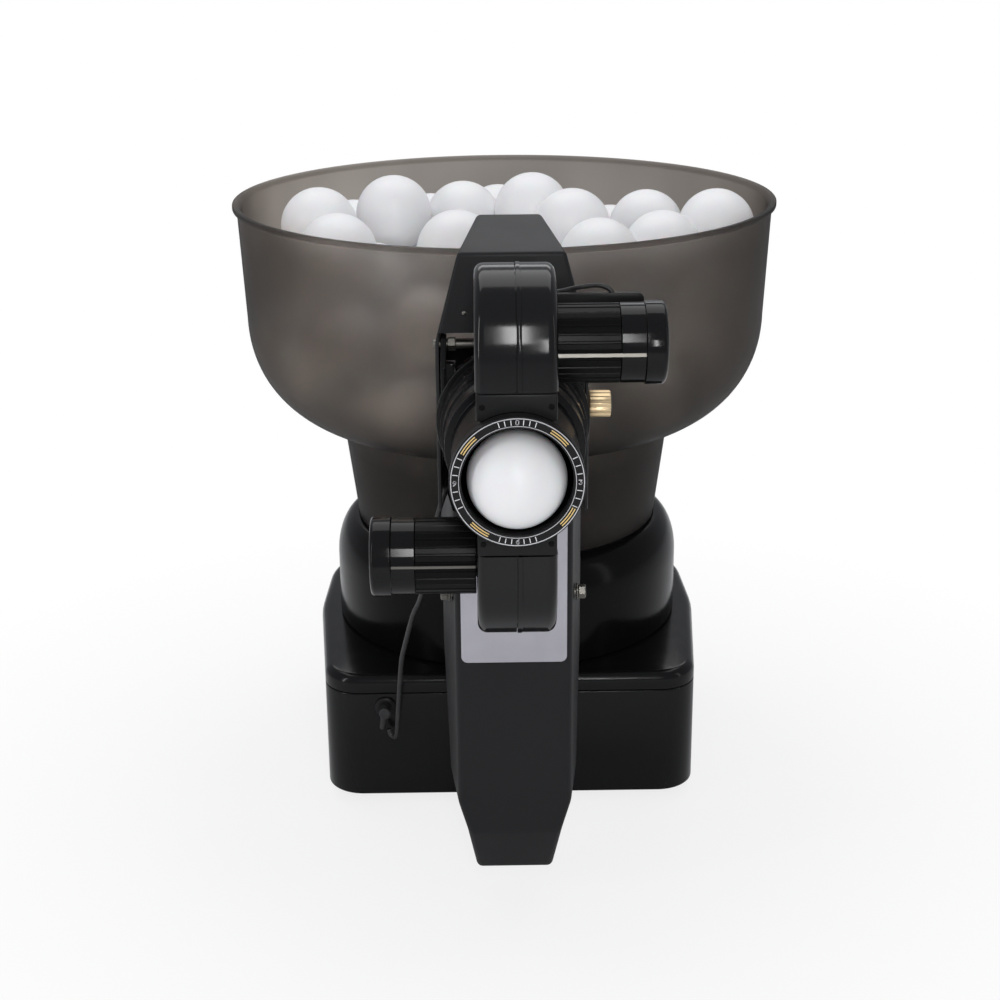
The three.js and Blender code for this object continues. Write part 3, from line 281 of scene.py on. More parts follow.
def printed(name, color, metallic=0.0):
    finish = Finish(name, color, 0.35, metallic=metallic)
    worn = finish.ramp(finish.noise(900, 4), 0.55, 0.8)
    finish.set("Base Color", finish.mix(worn * 0.35, color, shade(color, 0.6)))
    finish.set("Roughness", worn * 0.2 + 0.3)


def circuit():
    """Green board: lighter where the tracks run, in the two directions of the board."""
    finish = Finish("board", (0.015, 0.11, 0.05), 0.4)
    x, y, _ = finish.axes()
    columns, rows = 1900, 1500
    wide = abs(finish.node("Math", {"operation": "SINE"}, (x * columns,))) > 0.9
    long = abs(finish.node("Math", {"operation": "SINE"}, (y * rows,))) > 0.92
    tracks = finish.node("Math", {"operation": "MAXIMUM"}, (wide, long))
    finish.set("Base Color", finish.mix(tracks * 0.5, (0.012, 0.09, 0.045), (0.05, 0.26, 0.12)))
    finish.bump(tracks, 0.03, 0.5)


BLACK = (0.006, 0.006, 0.0065)
DEEP_BLACK = (0.004, 0.004, 0.0042)
moulded("gloss_black", BLACK, 0.12)
moulded("shell_black", BLACK, 0.12, smudge=0.03, ior=1.36)
moulded("collar_black", DEEP_BLACK, 0.14, ior=1.18)
moulded("cap_black", BLACK, 0.08, smudge=0.02)
moulded("satin_black", (0.01, 0.01, 0.0105), 0.34, grain=0.02)
coated_sheet("sheet_black", (0.0115, 0.0115, 0.0125), 0.4)
smoked()
rubber("foot_rubber", (0.018, 0.018, 0.018))
rubber("tyre_rubber", (0.38, 0.085, 0.04), 0.7)
metal("steel", (0.62, 0.62, 0.64), 0.2)
moulded("motor_black", DEEP_BLACK, 0.26, ior=1.18)
metal("dark_steel", (0.22, 0.21, 0.19), 0.34)
metal("brass", (0.9, 0.7, 0.43), 0.32)
metal("silver_plate", (0.56, 0.55, 0.6), 0.34, (1, 1, 12), 500)
moulded("nylon", (0.72, 0.7, 0.64), 0.4, grain=0.02, ior=1.45)
circuit()
rubber("lead_black", (0.013, 0.013, 0.014), 0.45)
ball_plastic()
printed("print_white", (0.8, 0.8, 0.82))
printed("print_silver", (0.7, 0.7, 0.72), 0.8)
printed("print_gold", (0.85, 0.63, 0.25), 0.3)
# CAD nodes that stay in sight
for entry in frame["record"]["subparts"]:
    holder = frame["nodes"][entry["node"]]
    holder.data.materials.clear()
    holder.data.materials.append(MATERIALS[entry["material_slot"]])


# Shapes, in millimetres

AXES = {
    "X": Matrix(((0, 0, 1), (1, 0, 0), (0, 1, 0))).to_4x4(),
    "Y": Matrix(((1, 0, 0), (0, 0, 1), (0, 1, 0))).to_4x4(),
    "Z": Matrix.Identity(4),
}
ROUND_STEP = 9


def arc(centre, radius, start, end, step=ROUND_STEP):
    """Points of an arc; the angles are in degrees."""
    count = max(1, math.ceil(abs(end - start) / step))
    angles = [math.radians(start + (end - start) * i / count) for i in range(count + 1)]
    return [(centre[0] + radius * math.cos(a), centre[1] + radius * math.sin(a)) for a in angles]


def rounded(corners, closed=True, step=ROUND_STEP):
    """A line through corners (u, v) or (u, v, radius), with arcs in the corners that have a radius."""
    points = []
    count = len(corners)
    for i, corner in enumerate(corners):
        here = Vector(corner[:2])
        radius = corner[2] if len(corner) > 2 else 0
        if not radius or (not closed and i in (0, count - 1)):
            points.append(tuple(here))
            continue
        back = (Vector(corners[i - 1][:2]) - here).normalized()
        on = (Vector(corners[(i + 1) % count][:2]) - here).normalized()
        half = back.angle(on) / 2
        centre = here + (back + on).normalized() * radius / math.sin(half)
        start = here + back * radius / math.tan(half) - centre
        sweep = math.degrees(math.pi - 2 * half)
        turn = 1 if back.cross(on) < 0 else -1
        first = math.degrees(math.atan2(start.y, start.x))
        points += arc(centre, radius, first, first + turn * sweep, step)
    return points


def moved(bm, x=0.0, y=0.0, z=0.0):
    bmesh.ops.translate(bm, verts=bm.verts, vec=(x, y, z))
    return bm


def turned_by(bm, degrees, axis, centre=(0, 0, 0)):
    bmesh.ops.rotate(bm, verts=bm.verts, cent=centre, matrix=Matrix.Rotation(math.radians(degrees), 3, axis))
    return bm


def tidy(bm):
    """Merges what lies together and turns the faces outwards."""
    bmesh.ops.remove_doubles(bm, verts=bm.verts, dist=0.002)
    bmesh.ops.recalc_face_normals(bm, faces=bm.faces)
    return bm


def spun(profile, axis="Z", steps=96, closed=True):
    """A profile of (radius, height) turned round an axis; one that is not closed ends on the axis."""
    bm = bmesh.new()
    line = [bm.verts.new((radius, 0, height)) for radius, height in profile]
    after = line[1:] + line[:1] if closed else line[1:]
    edges = [bm.edges.new(pair) for pair in zip(line, after)]
    bmesh.ops.spin(bm, geom=line + edges, cent=(0, 0, 0), axis=(0, 0, 1), angle=math.tau, steps=steps,
                   use_merge=True)
    turn = {"Z": Matrix.Identity(3), "Y": Matrix.Rotation(-math.pi / 2, 3, "X"),
            "X": Matrix.Rotation(math.pi / 2, 3, "Y")}[axis]
    bmesh.ops.rotate(bm, verts=bm.verts, cent=(0, 0, 0), matrix=turn)
    return tidy(bm)


def slab(outline, low, high, axis="Z", edge=0.0, rounds=4, low_edge=None):
    """An outline in the plane across an axis, drawn out from low to high, with rounded rims."""
    bm = bmesh.new()
    face = bm.faces.new([bm.verts.new((u, v, low)) for u, v in outline])
    out = bmesh.ops.extrude_face_region(bm, geom=[face], use_keep_orig=True)
    risen = [g for g in out["geom"] if isinstance(g, bmesh.types.BMVert)]
    bmesh.ops.translate(bm, verts=risen, vec=(0, 0, high - low))
    bmesh.ops.recalc_face_normals(bm, faces=bm.faces)
    for height, size in ((high, edge), (low, edge if low_edge is None else low_edge)):
        rim = [e for e in bm.edges if all(abs(v.co.z - height) < 0.001 for v in e.verts)]
        if size and rim:
            bmesh.ops.bevel(bm, geom=rim, offset=size, segments=rounds, profile=0.5, affect="EDGES",
                            material=-1, clamp_overlap=True)
    bmesh.ops.transform(bm, matrix=AXES[axis], verts=bm.verts)
    return tidy(bm)


def block(low, high, edge=0.0, rounds=2):
    """A box between two corners."""
    outline = [(low[0], low[1]), (high[0], low[1]), (high[0], high[1]), (low[0], high[1])]
    bm = slab(outline, low[2], high[2])
    if edge:
        bmesh.ops.bevel(bm, geom=bm.edges, offset=edge, segments=rounds, profile=0.5, affect="EDGES",
                        material=-1)
    return bm


def path_frames(points):
    """A placement at each point of a path, turned on from one to the next without twist."""
    path = [Vector(p) for p in points]
    ends = [path[min(i + 1, len(path) - 1)] - path[max(i - 1, 0)] for i in range(len(path))]
    turn = Vector((0, 0, 1)).rotation_difference(ends[0])
    frames = []
    before = ends[0]
    for point, along in zip(path, ends):
        turn = before.rotation_difference(along) @ turn
        before = along
        frames.append(Matrix.Translation(point) @ turn.to_matrix().to_4x4())
    return frames


def swept(points, radius, sides=24, wall=0.0):
    """A round rod along a path, or a tube where it has a wall."""
    frames = path_frames(points)
    bm = bmesh.new()
    bmesh.ops.create_circle(bm, cap_ends=False, radius=radius, segments=sides)
    bmesh.ops.transform(bm, matrix=frames[0], verts=bm.verts)
    loop = list(bm.edges)
    first = loop
    for before, after in zip(frames, frames[1:]):
        out = bmesh.ops.extrude_edge_only(bm, edges=loop)["geom"]
        loop = [g for g in out if isinstance(g, bmesh.types.BMEdge)]
        verts = [g for g in out if isinstance(g, bmesh.types.BMVert)]
        bmesh.ops.transform(bm, matrix=after @ before.inverted(), verts=verts)
    if wall:
        bmesh.ops.recalc_face_normals(bm, faces=bm.faces)
        bmesh.ops.solidify(bm, geom=bm.faces[:], thickness=wall)
    else:
        bmesh.ops.edgeloop_fill(bm, edges=first)
        bmesh.ops.edgeloop_fill(bm, edges=loop)
    return tidy(bm)


def curved(points, steps=8):
    """A smooth line through points, with a number of steps between each two."""
    path = [Vector(p) for p in points]
    path = [path[0] * 2 - path[1], *path, path[-1] * 2 - path[-2]]
    line = []
    for a, b, c, d in zip(path, path[1:], path[2:], path[3:]):
        for i in range(steps):
            t = i / steps
            line.append(0.5 * (2 * b + (c - a) * t + (2 * a - 5 * b + 4 * c - d) * t * t
                               + (3 * b - a - 3 * c + d) * t ** 3))
    return [*line, path[-2]]


LEAST_FOLD = math.radians(5)


def skin(levels, fold, sheet, closing=False, rounds=4):
    """Folded sheet: one chain of corners per level, the folds rounded, and the thickness put inside."""
    bm = bmesh.new()
    chain = [bm.verts.new(p) for p in levels[0]]
    edges = [bm.edges.new(pair) for pair in zip(chain, chain[1:])]
    for level in levels[1:]:
        out = bmesh.ops.extrude_edge_only(bm, edges=edges)["geom"]
        edges = [g for g in out if isinstance(g, bmesh.types.BMEdge)]
        fresh = [g for g in out if isinstance(g, bmesh.types.BMVert)]
        ordered = chain_order(fresh, chain)
        for vert, place in zip(ordered, level):
            vert.co = place
        chain = ordered
    if closing:
        bm.faces.new(chain)
    bmesh.ops.recalc_face_normals(bm, faces=bm.faces)
    folds = [e for e in bm.edges if len(e.link_faces) == 2 and e.calc_face_angle() > LEAST_FOLD]
    bmesh.ops.bevel(bm, geom=folds, offset=fold, segments=rounds, profile=0.5, affect="EDGES", material=-1)
    centre = sum((v.co for v in bm.verts), Vector()) / len(bm.verts)
    sample = max(bm.faces, key=lambda f: f.calc_area())
    outward = sample.normal.dot(sample.calc_center_median() - centre) > 0
    if not outward:
        bmesh.ops.reverse_faces(bm, faces=bm.faces)
    bmesh.ops.solidify(bm, geom=bm.faces[:], thickness=sheet)
    return bm


def chain_order(fresh, before):
    """The new vertices of an extruded chain in the order of the old ones, which they still lie on."""
    return [min(fresh, key=lambda v: (v.co - old.co).length) for old in before]


def joined(*bodies):
    """Several closed shapes as one mesh, without a union of their walls."""
    whole = bmesh.new()
    for bm in bodies:
        mesh = as_mesh("shape", bm)
        whole.from_mesh(mesh)
        bpy.data.meshes.remove(mesh)
    return whole


def carved(bm, *cutters, operation="DIFFERENCE"):
    """A shape with others cut from it, or united with it."""
    objects = [placed("shape", as_mesh("shape", shape)) for shape in (bm, *cutters)]
    for tool in objects[1:]:
        modifier = objects[0].modifiers.new("cut", "BOOLEAN")
        modifier.operation = operation
        modifier.solver = "EXACT"
        modifier.object = tool
    bpy.context.view_layer.update()
    result = bmesh.new()
    result.from_object(objects[0], bpy.context.evaluated_depsgraph_get())
    for holder in objects:
        mesh = holder.data
        bpy.data.objects.remove(holder)
        bpy.data.meshes.remove(mesh)
    return tidy(result)


def piece(name, bm, body, finish, *stands_for, sharp=32):
    """Puts a shape into the scene as a piece that rides on a body."""
    bmesh.ops.scale(bm, verts=bm.verts, vec=(MM, MM, MM))
    for face in bm.faces:
        face.smooth = True
    mesh = as_mesh(name, bm)
    mesh.set_sharp_from_angle(angle=math.radians(sharp))
    mesh.materials.append(MATERIALS[finish])
    made = placed(name, mesh)
    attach(made, body)
    if stands_for:
        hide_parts(*stands_for)
    return made


def offset(outline, distance, closed=True):
    """An outline moved to its left by a distance; anticlockwise outlines shrink."""
    count = len(outline)
    result = []
    for i in range(count):
        here = Vector(outline[i])
        back = Vector(outline[i - 1]) if closed or i else here
        on = Vector(outline[(i + 1) % count]) if closed or i < count - 1 else here
        normals = [Vector((-d.y, d.x)).normalized() for d in (here - back, on - here) if d.length > 1e-6]
        mean = (normals[0] + normals[-1]).normalized()
        result.append(tuple(here + mean * distance / max(0.3, mean.dot(normals[0]))))
    return result


def rect(u0, u1, v0, v1, radius=0.0):
    return rounded([(u0, v0, radius), (u1, v0, radius), (u1, v1, radius), (u0, v1, radius)])


def disc(radius, low, high, axis="Z", edge=0.3, steps=48):
    """A solid round bar along an axis."""
    profile = rounded([(0, low), (radius, low, edge), (radius, high, edge), (0, high)], closed=False, step=30)
    return spun(profile, axis, steps, closed=False)


def hexagon(across, low, high, bore=0.0, edge=0.35):
    """A hexagon along X, with its corners eased."""
    corner = across / math.sqrt(3)
    outline = [(corner * math.cos(math.radians(a)), corner * math.sin(math.radians(a)))
               for a in range(0, 360, 60)]
    bm = slab(outline, low, high, "X", edge, 1)
    return carved(bm, disc(bore, low - 1, high + 1, "X", 0)) if bore else bm


def cut_away(bm, place, normal):
    """Takes off what lies on the side that the normal points to, and closes the cut."""
    geom = bm.verts[:] + bm.edges[:] + bm.faces[:]
    out = bmesh.ops.bisect_plane(bm, geom=geom, plane_co=place, plane_no=normal, clear_outer=True)
    edges = [g for g in out["geom_cut"] if isinstance(g, bmesh.types.BMEdge)]
    bmesh.ops.edgeloop_fill(bm, edges=edges)
    return tidy(bm)


# Base

BASE_FRONT, BASE_REAR = -101.6, 104
BASE = rounded([(-97, BASE_FRONT, 20), (97, BASE_FRONT, 20), (107, 0, 120), (103, BASE_REAR, 62),
                (-103, BASE_REAR, 62), (-107, 0, 120)], step=4)
BASE_WALL = 2.5
HOUSING_TOP = 59.5
LID_FOOT, LID_TOP = 59.8, 69.5
FITTING_X, FITTING_Z = 32, 29.9
SWITCH = (FITTING_X, BASE_REAR, FITTING_Z)
INLET = (-FITTING_X, BASE_REAR, FITTING_Z)
JACK = (-66, BASE_FRONT, 52)
SIDES = {"left": -1, "right": 1}


def make_base():
    inside = offset(BASE, BASE_WALL)
    jack = moved(disc(4.8, -6, 6, "Y", 0), *JACK)
    inlet = moved(disc(6.3, -6, 6, "Y", 0), *INLET)
    switch = moved(block((-10.8, 97, 22.1), (10.8, 108, 37.7)), FITTING_X)
    housing = carved(slab(BASE, 0, HOUSING_TOP, edge=0.7, low_edge=1.2, rounds=3), slab(inside, 3.2, 80),
                     slab(offset(BASE, 4), -4, 4), jack, inlet, switch)
    piece("housing_shell", housing, "base", "gloss_black", "base_housing")
    lid = slab(BASE, LID_FOOT, LID_TOP, edge=5, low_edge=0.5, rounds=8)
    lid = carved(lid, slab(inside, 50, 67), disc(38, 60, 80, edge=0))
    piece("lid_shell", lid, "base", "gloss_black", "base_lid")
    profile = rounded([(0, -6.5), (8.2, -6.5, 0.8), (8.75, -6, 0.5), (10, -1.5, 0.4), (10, 0, 0.2), (0, 0)],
                      closed=False)
    for name in ("front_left", "front_right", "rear_left", "rear_right"):
        at = middle(f"foot_{name}")
        foot = moved(spun(profile, steps=64, closed=False), at.x, at.y, -0.3)
        piece(f"rubber_foot_{name}", foot, "base", "foot_rubber", f"foot_{name}")


def make_rear_fittings():
    bezel = slab(rect(-12.5, 12.5, -9.5, 9.5, 1.5), 0.3, 2, "Y", 0.5, 3)
    well = block((-10.5, -17, -7.5), (10.5, 1, 7.5), 0.5)
    frame_body = carved(bezel, well, operation="UNION")
    frame_body = carved(frame_body, block((-8.5, -15, -5.5), (8.5, 5, 5.5)))
    piece("switch_bezel", moved(frame_body, *SWITCH), "base", "satin_black", "switch_frame")
    outline = rounded([(-7.2, -5), (7.2, -5), (7.2, 1, 0.3), (0, -0.5, 8), (-7.2, 1, 0.3)], step=3)
    rocker = slab(outline, -4.5, 4.5, "Z", 0.3, 2)
    on, off = (-4.4, 0.32, 0), (4.4, 0.36, 0)
    slope = 11
    bar = moved(block((-0.3, -0.05, -1.6), (0.3, 0.08, 1.6)), *on)
    ring = moved(spun([(1.1, -0.05), (1.6, -0.05), (1.6, 0.08), (1.1, 0.08)], "Y", 32), *off)
    marks = joined(turned_by(bar, -slope, "Z", on), turned_by(ring, slope, "Z", off))
    for name, bm, finish, stands in (("rocker", rocker, "gloss_black", ["rocker_switch"]),
                                     ("rocker_marks", marks, "print_white", [])):
        piece(name, moved(turned_by(bm, -8, "Z"), *SWITCH), "rocker", finish, *stands)
    profile = rounded([(0, -14), (6, -14, 0.3), (6, 0.3), (9, 0.3, 0.3), (9, 2, 0.6), (4, 2, 0.4), (4, -12),
                       (1.3, -12), (1.3, 0, 0.6), (0, 0)], closed=False)
    piece("inlet_sleeve", moved(spun(profile, "Y", 64, closed=False), *INLET), "base", "satin_black",
          "power_inlet")


# Turntable and hopper

NECK_FOOT = 128.1
NECK_RADIUS = 83
NECK_BORE = 80.4
BOWL_WALL = 2.6
BOWL_TOP = 303.8
RIM_RADIUS = 144.2
DUCT_Z = 99.8
TUBE_Y = -179.9
BOLT = (-193, 154.5)


def bezier(a, b, c, d, steps):
    """Points of a cubic curve from a to d."""
    points = [Vector(p) for p in (a, b, c, d)]
    result = []
    for i in range(steps + 1):
        t = i / steps
        weights = ((1 - t) ** 3, 3 * t * (1 - t) ** 2, 3 * t * t * (1 - t), t ** 3)
        result.append(tuple(sum((p * w for p, w in zip(points, weights)), Vector((0, 0)))))
    return result


def bowl_outside():
    """Radius and height from the neck's foot up to under the rim."""
    belly = bezier((90.2, 184.5), (111.5, 186.5), (139.3, 205), (139.3, 243.3), 28)
    return [(NECK_RADIUS, NECK_FOOT), *belly, (141.9, 300.4)]


def make_turntable():
    outside = bowl_outside()
    inside = offset(outside, BOWL_WALL, closed=False)[::-1]
    rim = rounded([outside[-1], (RIM_RADIUS, 301.4, 0.5), (RIM_RADIUS, BOWL_TOP, 0.7), (141.3, BOWL_TOP, 1.2),
                   (139.6, 302)], closed=False, step=15)
    piece("bowl_wall", spun([*outside, *rim, *inside], steps=180), "turntable", "smoked_clear",
          "hopper_bowl", sharp=40)
    quarter = math.pi / 2
    bend = 104.5
    rise = [(83.5 + 12 * math.cos(a), bend + 23 * math.sin(a)) for a in np.linspace(0, quarter, 15)]
    inner = [(83.3 + 9.7 * math.cos(a), bend + 20.5 * math.sin(a)) for a in np.linspace(quarter, 0, 13)]
    shell = spun([*arc((94.9, 71.1), 0.6, -90, 0, 30), *rise, (83.3, 127.5), *inner, (93, 70.5)], steps=144)
    window = moved(disc(23.6, -110, 0, "Y", 0), 0, 0, DUCT_Z)
    piece("collar_shell", carved(shell, window), "turntable", "collar_black", "turntable_collar")


def make_ball_path():
    radius, wall, sides = 23.3, 2, 48
    turn = np.linspace(0, math.pi / 2, 14)
    bend = [(0, TUBE_Y + 40 - 40 * math.sin(a), 139.8 - 40 * math.cos(a)) for a in turn]
    lower = [(0, -83.1, DUCT_Z), (0, -112, DUCT_Z), *bend]
    piece("duct_bend", swept(lower, radius, sides, wall), "turntable", "satin_black", "ball_duct")
    bend = [(0, -203.5 + 23.6 * math.cos(a), 219.1 + 24 * math.sin(a)) for a in turn]
    tube = swept([(0, TUBE_Y, 140.1), (0, TUBE_Y, 180), *bend], radius, sides, wall)
    lugs = [carved(block((-half, at - 7, low), (half, at + 7, low + 12), 0.8),
                   moved(disc(22, 100, 260, edge=0), 0, TUBE_Y))
            for half, at, low in ((25.6, BOLT[0], 148.5), (31.5, TUBE_Y, 202))]
    piece("rise_pipe", joined(tube, *lugs), "turntable", "satin_black", "rise_tube")


# Column and yoke

SHEET_FRONT, SHEET_REAR = -206, -150
SHEET = 1.5
SCREW_BORE, ROD_BORE = 2.3, 2.1
PIVOT = (-199, 273.9)
KNOB = (-199, 246.2)
YOKE_HALF = 33.3
NUT, NUT_SEAT = 5.4, 28.1


def make_column():
    face, widening = 26.7, 0.118
    levels = []
    for z, front, half, rear in ((198.7, SHEET_FRONT, face, SHEET_REAR), (112, SHEET_FRONT, face, SHEET_REAR),
                                 (53, SHEET_FRONT, face, -174), (36.8, SHEET_FRONT, 22, -178),
                                 (10, -194, 17.8, -180)):
        wide = half + widening * (rear - front)
        levels.append([(-wide, rear, z), (-half, front, z), (half, front, z), (wide, rear, z)])
    cover = skin(levels, 2.6, SHEET, closing=True)
    screw = moved(disc(SCREW_BORE, -60, 60, "X", 0), 0, *BOLT)
    piece("cover_sheet", carved(cover, screw), "turntable", "sheet_black", "column_cover")
    plate = slab(rect(-24.2, 24.2, 125.5, 196, 3), -207.2, -206.3, "Y", 0.3, 2)
    piece("front_plate", plate, "turntable", "silver_plate", "name_plate")
    shank = 4.4
    for side, sign in SIDES.items():
        low, high = span(f"column_bolt_{side}")
        seat = low.x + shank if sign > 0 else high.x - shank
        washer = disc(3.9, 0.1, 0.9, "X", 0.25)
        head = hexagon(5.7, 0.9, 4.6, edge=0.5)
        end = disc(2, -shank, 1, "X", 0.4)
        bolt = joined(washer, head, end)
        if sign < 0:
            turned_by(bolt, 180, "Z")
        piece(f"bolt_{side}", moved(bolt, seat, *BOLT), "turntable", "dark_steel", f"column_bolt_{side}")


def make_yoke():
    half, front, rear, foot = YOKE_HALF, SHEET_FRONT, SHEET_REAR, 199
    levels = [[(-half, rear, foot), (-half, front, foot), (half, front, foot), (half, rear, foot)],
              [(-half, rear, 262), (-half, front, 276.5), (half, front, 276.5), (half, rear, 262)],
              [(-14.7, -148.5, 320.8), (-23.2, front, 315.3), (23.2, front, 315.3), (14.7, -148.5, 320.8)]]
    inside = half - SHEET
    mouth = block((-inside, -215, 190), (inside, -202, 280.5))
    lead_notch = block((-40, -196, 190), (0, -190, 206))
    rod_bore = moved(disc(ROD_BORE, -50, 50, "X", 0), 0, *PIVOT)
    knob_bore = moved(disc(SCREW_BORE, 0, 50, "X", 0), 0, *KNOB)
    hood = carved(skin(levels, 1.8, SHEET, closing=True), mouth, lead_notch, rod_bore, knob_bore)
    # Painted shade: a dark sheet across the yoke's back, so that the inside shows dark behind the rod.
    shade_web = block((-32.4, -152, 236), (32.4, -150.5, 264), 0.3)
    piece("yoke_sheet", joined(hood, shade_web), "turntable", "sheet_black", "head_yoke")
    dome = [(math.cos(a), 0.5 * math.sin(a)) for a in np.linspace(0, math.pi / 2, 7)]
    rivet = spun([(0, -1.5), (0.8, -1.5), (0.8, 0), *dome], "Y", 32, closed=False)
    turned_by(rivet, 180, "X")
    piece("hood_rivet", moved(rivet, -20.6, front, 289.2), "turntable", "dark_steel")
    rod = disc(2, -half - 1, half + 1, "X", 0.5)
    piece("rod", moved(rod, 0, *PIVOT), "turntable", "dark_steel", "tilt_rod")
    for side, sign in SIDES.items():
        nut = hexagon(NUT, 24.4, NUT_SEAT, ROD_BORE)
        if sign < 0:
            turned_by(nut, 180, "Z")
        piece(f"nut_{side}", moved(nut, 0, *PIVOT), "turntable", "dark_steel", f"rod_nut_{side}")


KNOB_FLUTES = 11


def make_knob():
    steps = KNOB_FLUTES * 12
    outline = []
    for i in range(steps):
        a = math.tau * i / steps
        radius = 5.72 + 0.28 * math.cos(KNOB_FLUTES * a)
        outline.append((radius * math.cos(a), radius * math.sin(a)))
    grip = slab(outline, 33.6, 43.1, "X", 0.5, 2)
    knob = joined(grip, disc(2, 24.9, 38, "X", 0.3))
    piece("brass_knob", moved(knob, 0, *KNOB), "knob", "brass", "lock_knob")
    nut = moved(hexagon(NUT, 24.9, NUT_SEAT, ROD_BORE), 0, *KNOB)
    piece("knob_nut", nut, "turntable", "dark_steel", "lock_nut")


# Carrier and head

AXIS_Z = 243.1
WHEELS_Y = -256
SPREAD = 45.4
TYRE_RADIUS = 27
SLOT_HALF = 11.6


def on_axis(bm, y=0):
    return moved(bm, 0, y, AXIS_Z)


def make_carrier():
    front, step, rear = -215.5, -211.8, -209.5
    bore, wide, outside = 24, 27.3, 33.3
    ring = spun(rounded([(bore, front, 0.6), (outside, front, 0.8), (outside, rear, 0.8), (wide, rear, 0.3),
                         (wide, step), (bore, step, 0.3)]), "Y", 128)
    bodies = [on_axis(ring)]
    hole = on_axis(disc(wide, -230, -150, "Y", 0, 96))
    slot_path = arc(PIVOT, 27.7, -99.8, -60.2, 2)
    for sign in (-1, 1):
        outline = rounded([(-212.5, 235.1, 0.3), (-180.5, 235.1, 5.2), (-180.5, 260, 5.2),
                           (-193.6, 279.3, 5.2), (-204.4, 279.3, 5.2), (-212.5, 266.7, 0.3)])
        plate = slab(outline, 28.4, 30.9, "X", 0.5, 2)
        rib = block((24.4, -212.5, 235.1), (28.6, -205.5, 268.5), 0.5)
        side = carved(plate, rib, operation="UNION")
        rod_bore = moved(disc(ROD_BORE, 20, 40, "X", 0), 0, *PIVOT)
        slot = [moved(disc(SCREW_BORE, 20, 40, "X", 0, 24), 0, *p) for p in slot_path] if sign > 0 else []
        side = carved(side, hole, rod_bore, *slot)
        if sign < 0:
            bmesh.ops.scale(side, verts=side.verts, vec=(-1, 1, 1))
            bmesh.ops.reverse_faces(side, faces=side.faces)
        bodies.append(side)
    piece("carrier_ring", joined(*bodies), "carrier", "gloss_black", "tilt_carrier")


def barrel_outline(clearance, ease=0.0):
    """Radius and Y of the barrel's outside from the dial to the shoulder at its tail."""
    c = clearance
    return [(26.2 + c, -290), (26.2 + c, -252, ease), (29.2 + c, -252, ease), (29.2 + c, -249, ease),
            (28.9 + c, -248.6), (31.5 + c, -218.8, ease), (31.5 + c, -215.8, ease)]


def wheel_reach(height):
    """Half the length that a slot for a wheel needs at a height over the barrel's axis."""
    return math.sqrt(TYRE_RADIUS ** 2 - (SPREAD - height) ** 2) + 1.6


def make_barrel():
    line = barrel_outline(0, 0.5)
    rings = [(29.35 + 0.087 * (y + 248.6) + rise, y + along, 0.25) for y in (-240, -229)
             for rise, along in ((-0.45, 0), (0.3, 0), (0.3, 1.3), (-0.45, 1.3))]
    bore, tail = 22.5, 23.7
    profile = rounded([(bore, -290), *line[:5], *rings, *line[5:], (tail, -215.8), (tail, -211.5, 0.3),
                       (bore, -211.5, 0.3)], step=20)
    front, rear = wheel_reach(26.2), wheel_reach(31.5)
    slot = block((-SLOT_HALF, WHEELS_Y - front, -SPREAD), (SLOT_HALF, WHEELS_Y + rear, SPREAD))
    body = carved(spun(profile, "Y", 144), slot)
    piece("barrel_tube", on_axis(body), "head", "gloss_black", "barrel")
    ring = spun(rounded([(bore, -211.2), (27, -211.2), (27, -209.5, 0.4), (bore, -209.5, 0.4)]), "Y", 96)
    piece("retainer_ring", on_axis(ring), "head", "satin_black", "barrel_retainer")


DIAL_Y = -296
STROKES = {
    "0": [(-1, -1), (-1, 1), (-0.5, 1.6), (0.5, 1.6), (1, 1), (1, -1), (0.5, -1.6), (-0.5, -1.6), (-1, -1)],
    "3": [(-1, 1.6), (1, 1.6), (0, 0.3), (0.6, 0.2), (1, -0.3), (1, -1), (0.4, -1.6), (-0.5, -1.6),
          (-1, -1.1)],
    "6": [(0.8, 1.6), (-0.4, 0.9), (-1, -0.3), (-1, -1), (-0.5, -1.6), (0.5, -1.6), (1, -1), (1, -0.5),
          (0.5, 0.1), (-0.5, 0.1), (-1, -0.5)],
}
STROKES["9"] = [(-u, -v) for u, v in STROKES["6"]]


def stroke(points, width):
    """A flat line of a width along points in the plane of the dial."""
    bodies = []
    for (u0, v0), (u1, v1) in zip(points, points[1:]):
        along = Vector((u1 - u0, v1 - v0))
        bar = block((-width / 2, -0.06, -width / 2), (along.length + width / 2, 0.06, width / 2))
        turned_by(bar, -math.degrees(math.atan2(along.y, along.x)), "Y")
        bodies.append(moved(bar, u0, 0, v0))
    return joined(*bodies)


def ring_bar(radius, width, start, end):
    """A flat arc on the dial."""
    line = arc((0, 0), radius - width / 2, start, end, 2) + arc((0, 0), radius + width / 2, end, start, 2)
    return slab(line, -0.06, 0.06, "Y")


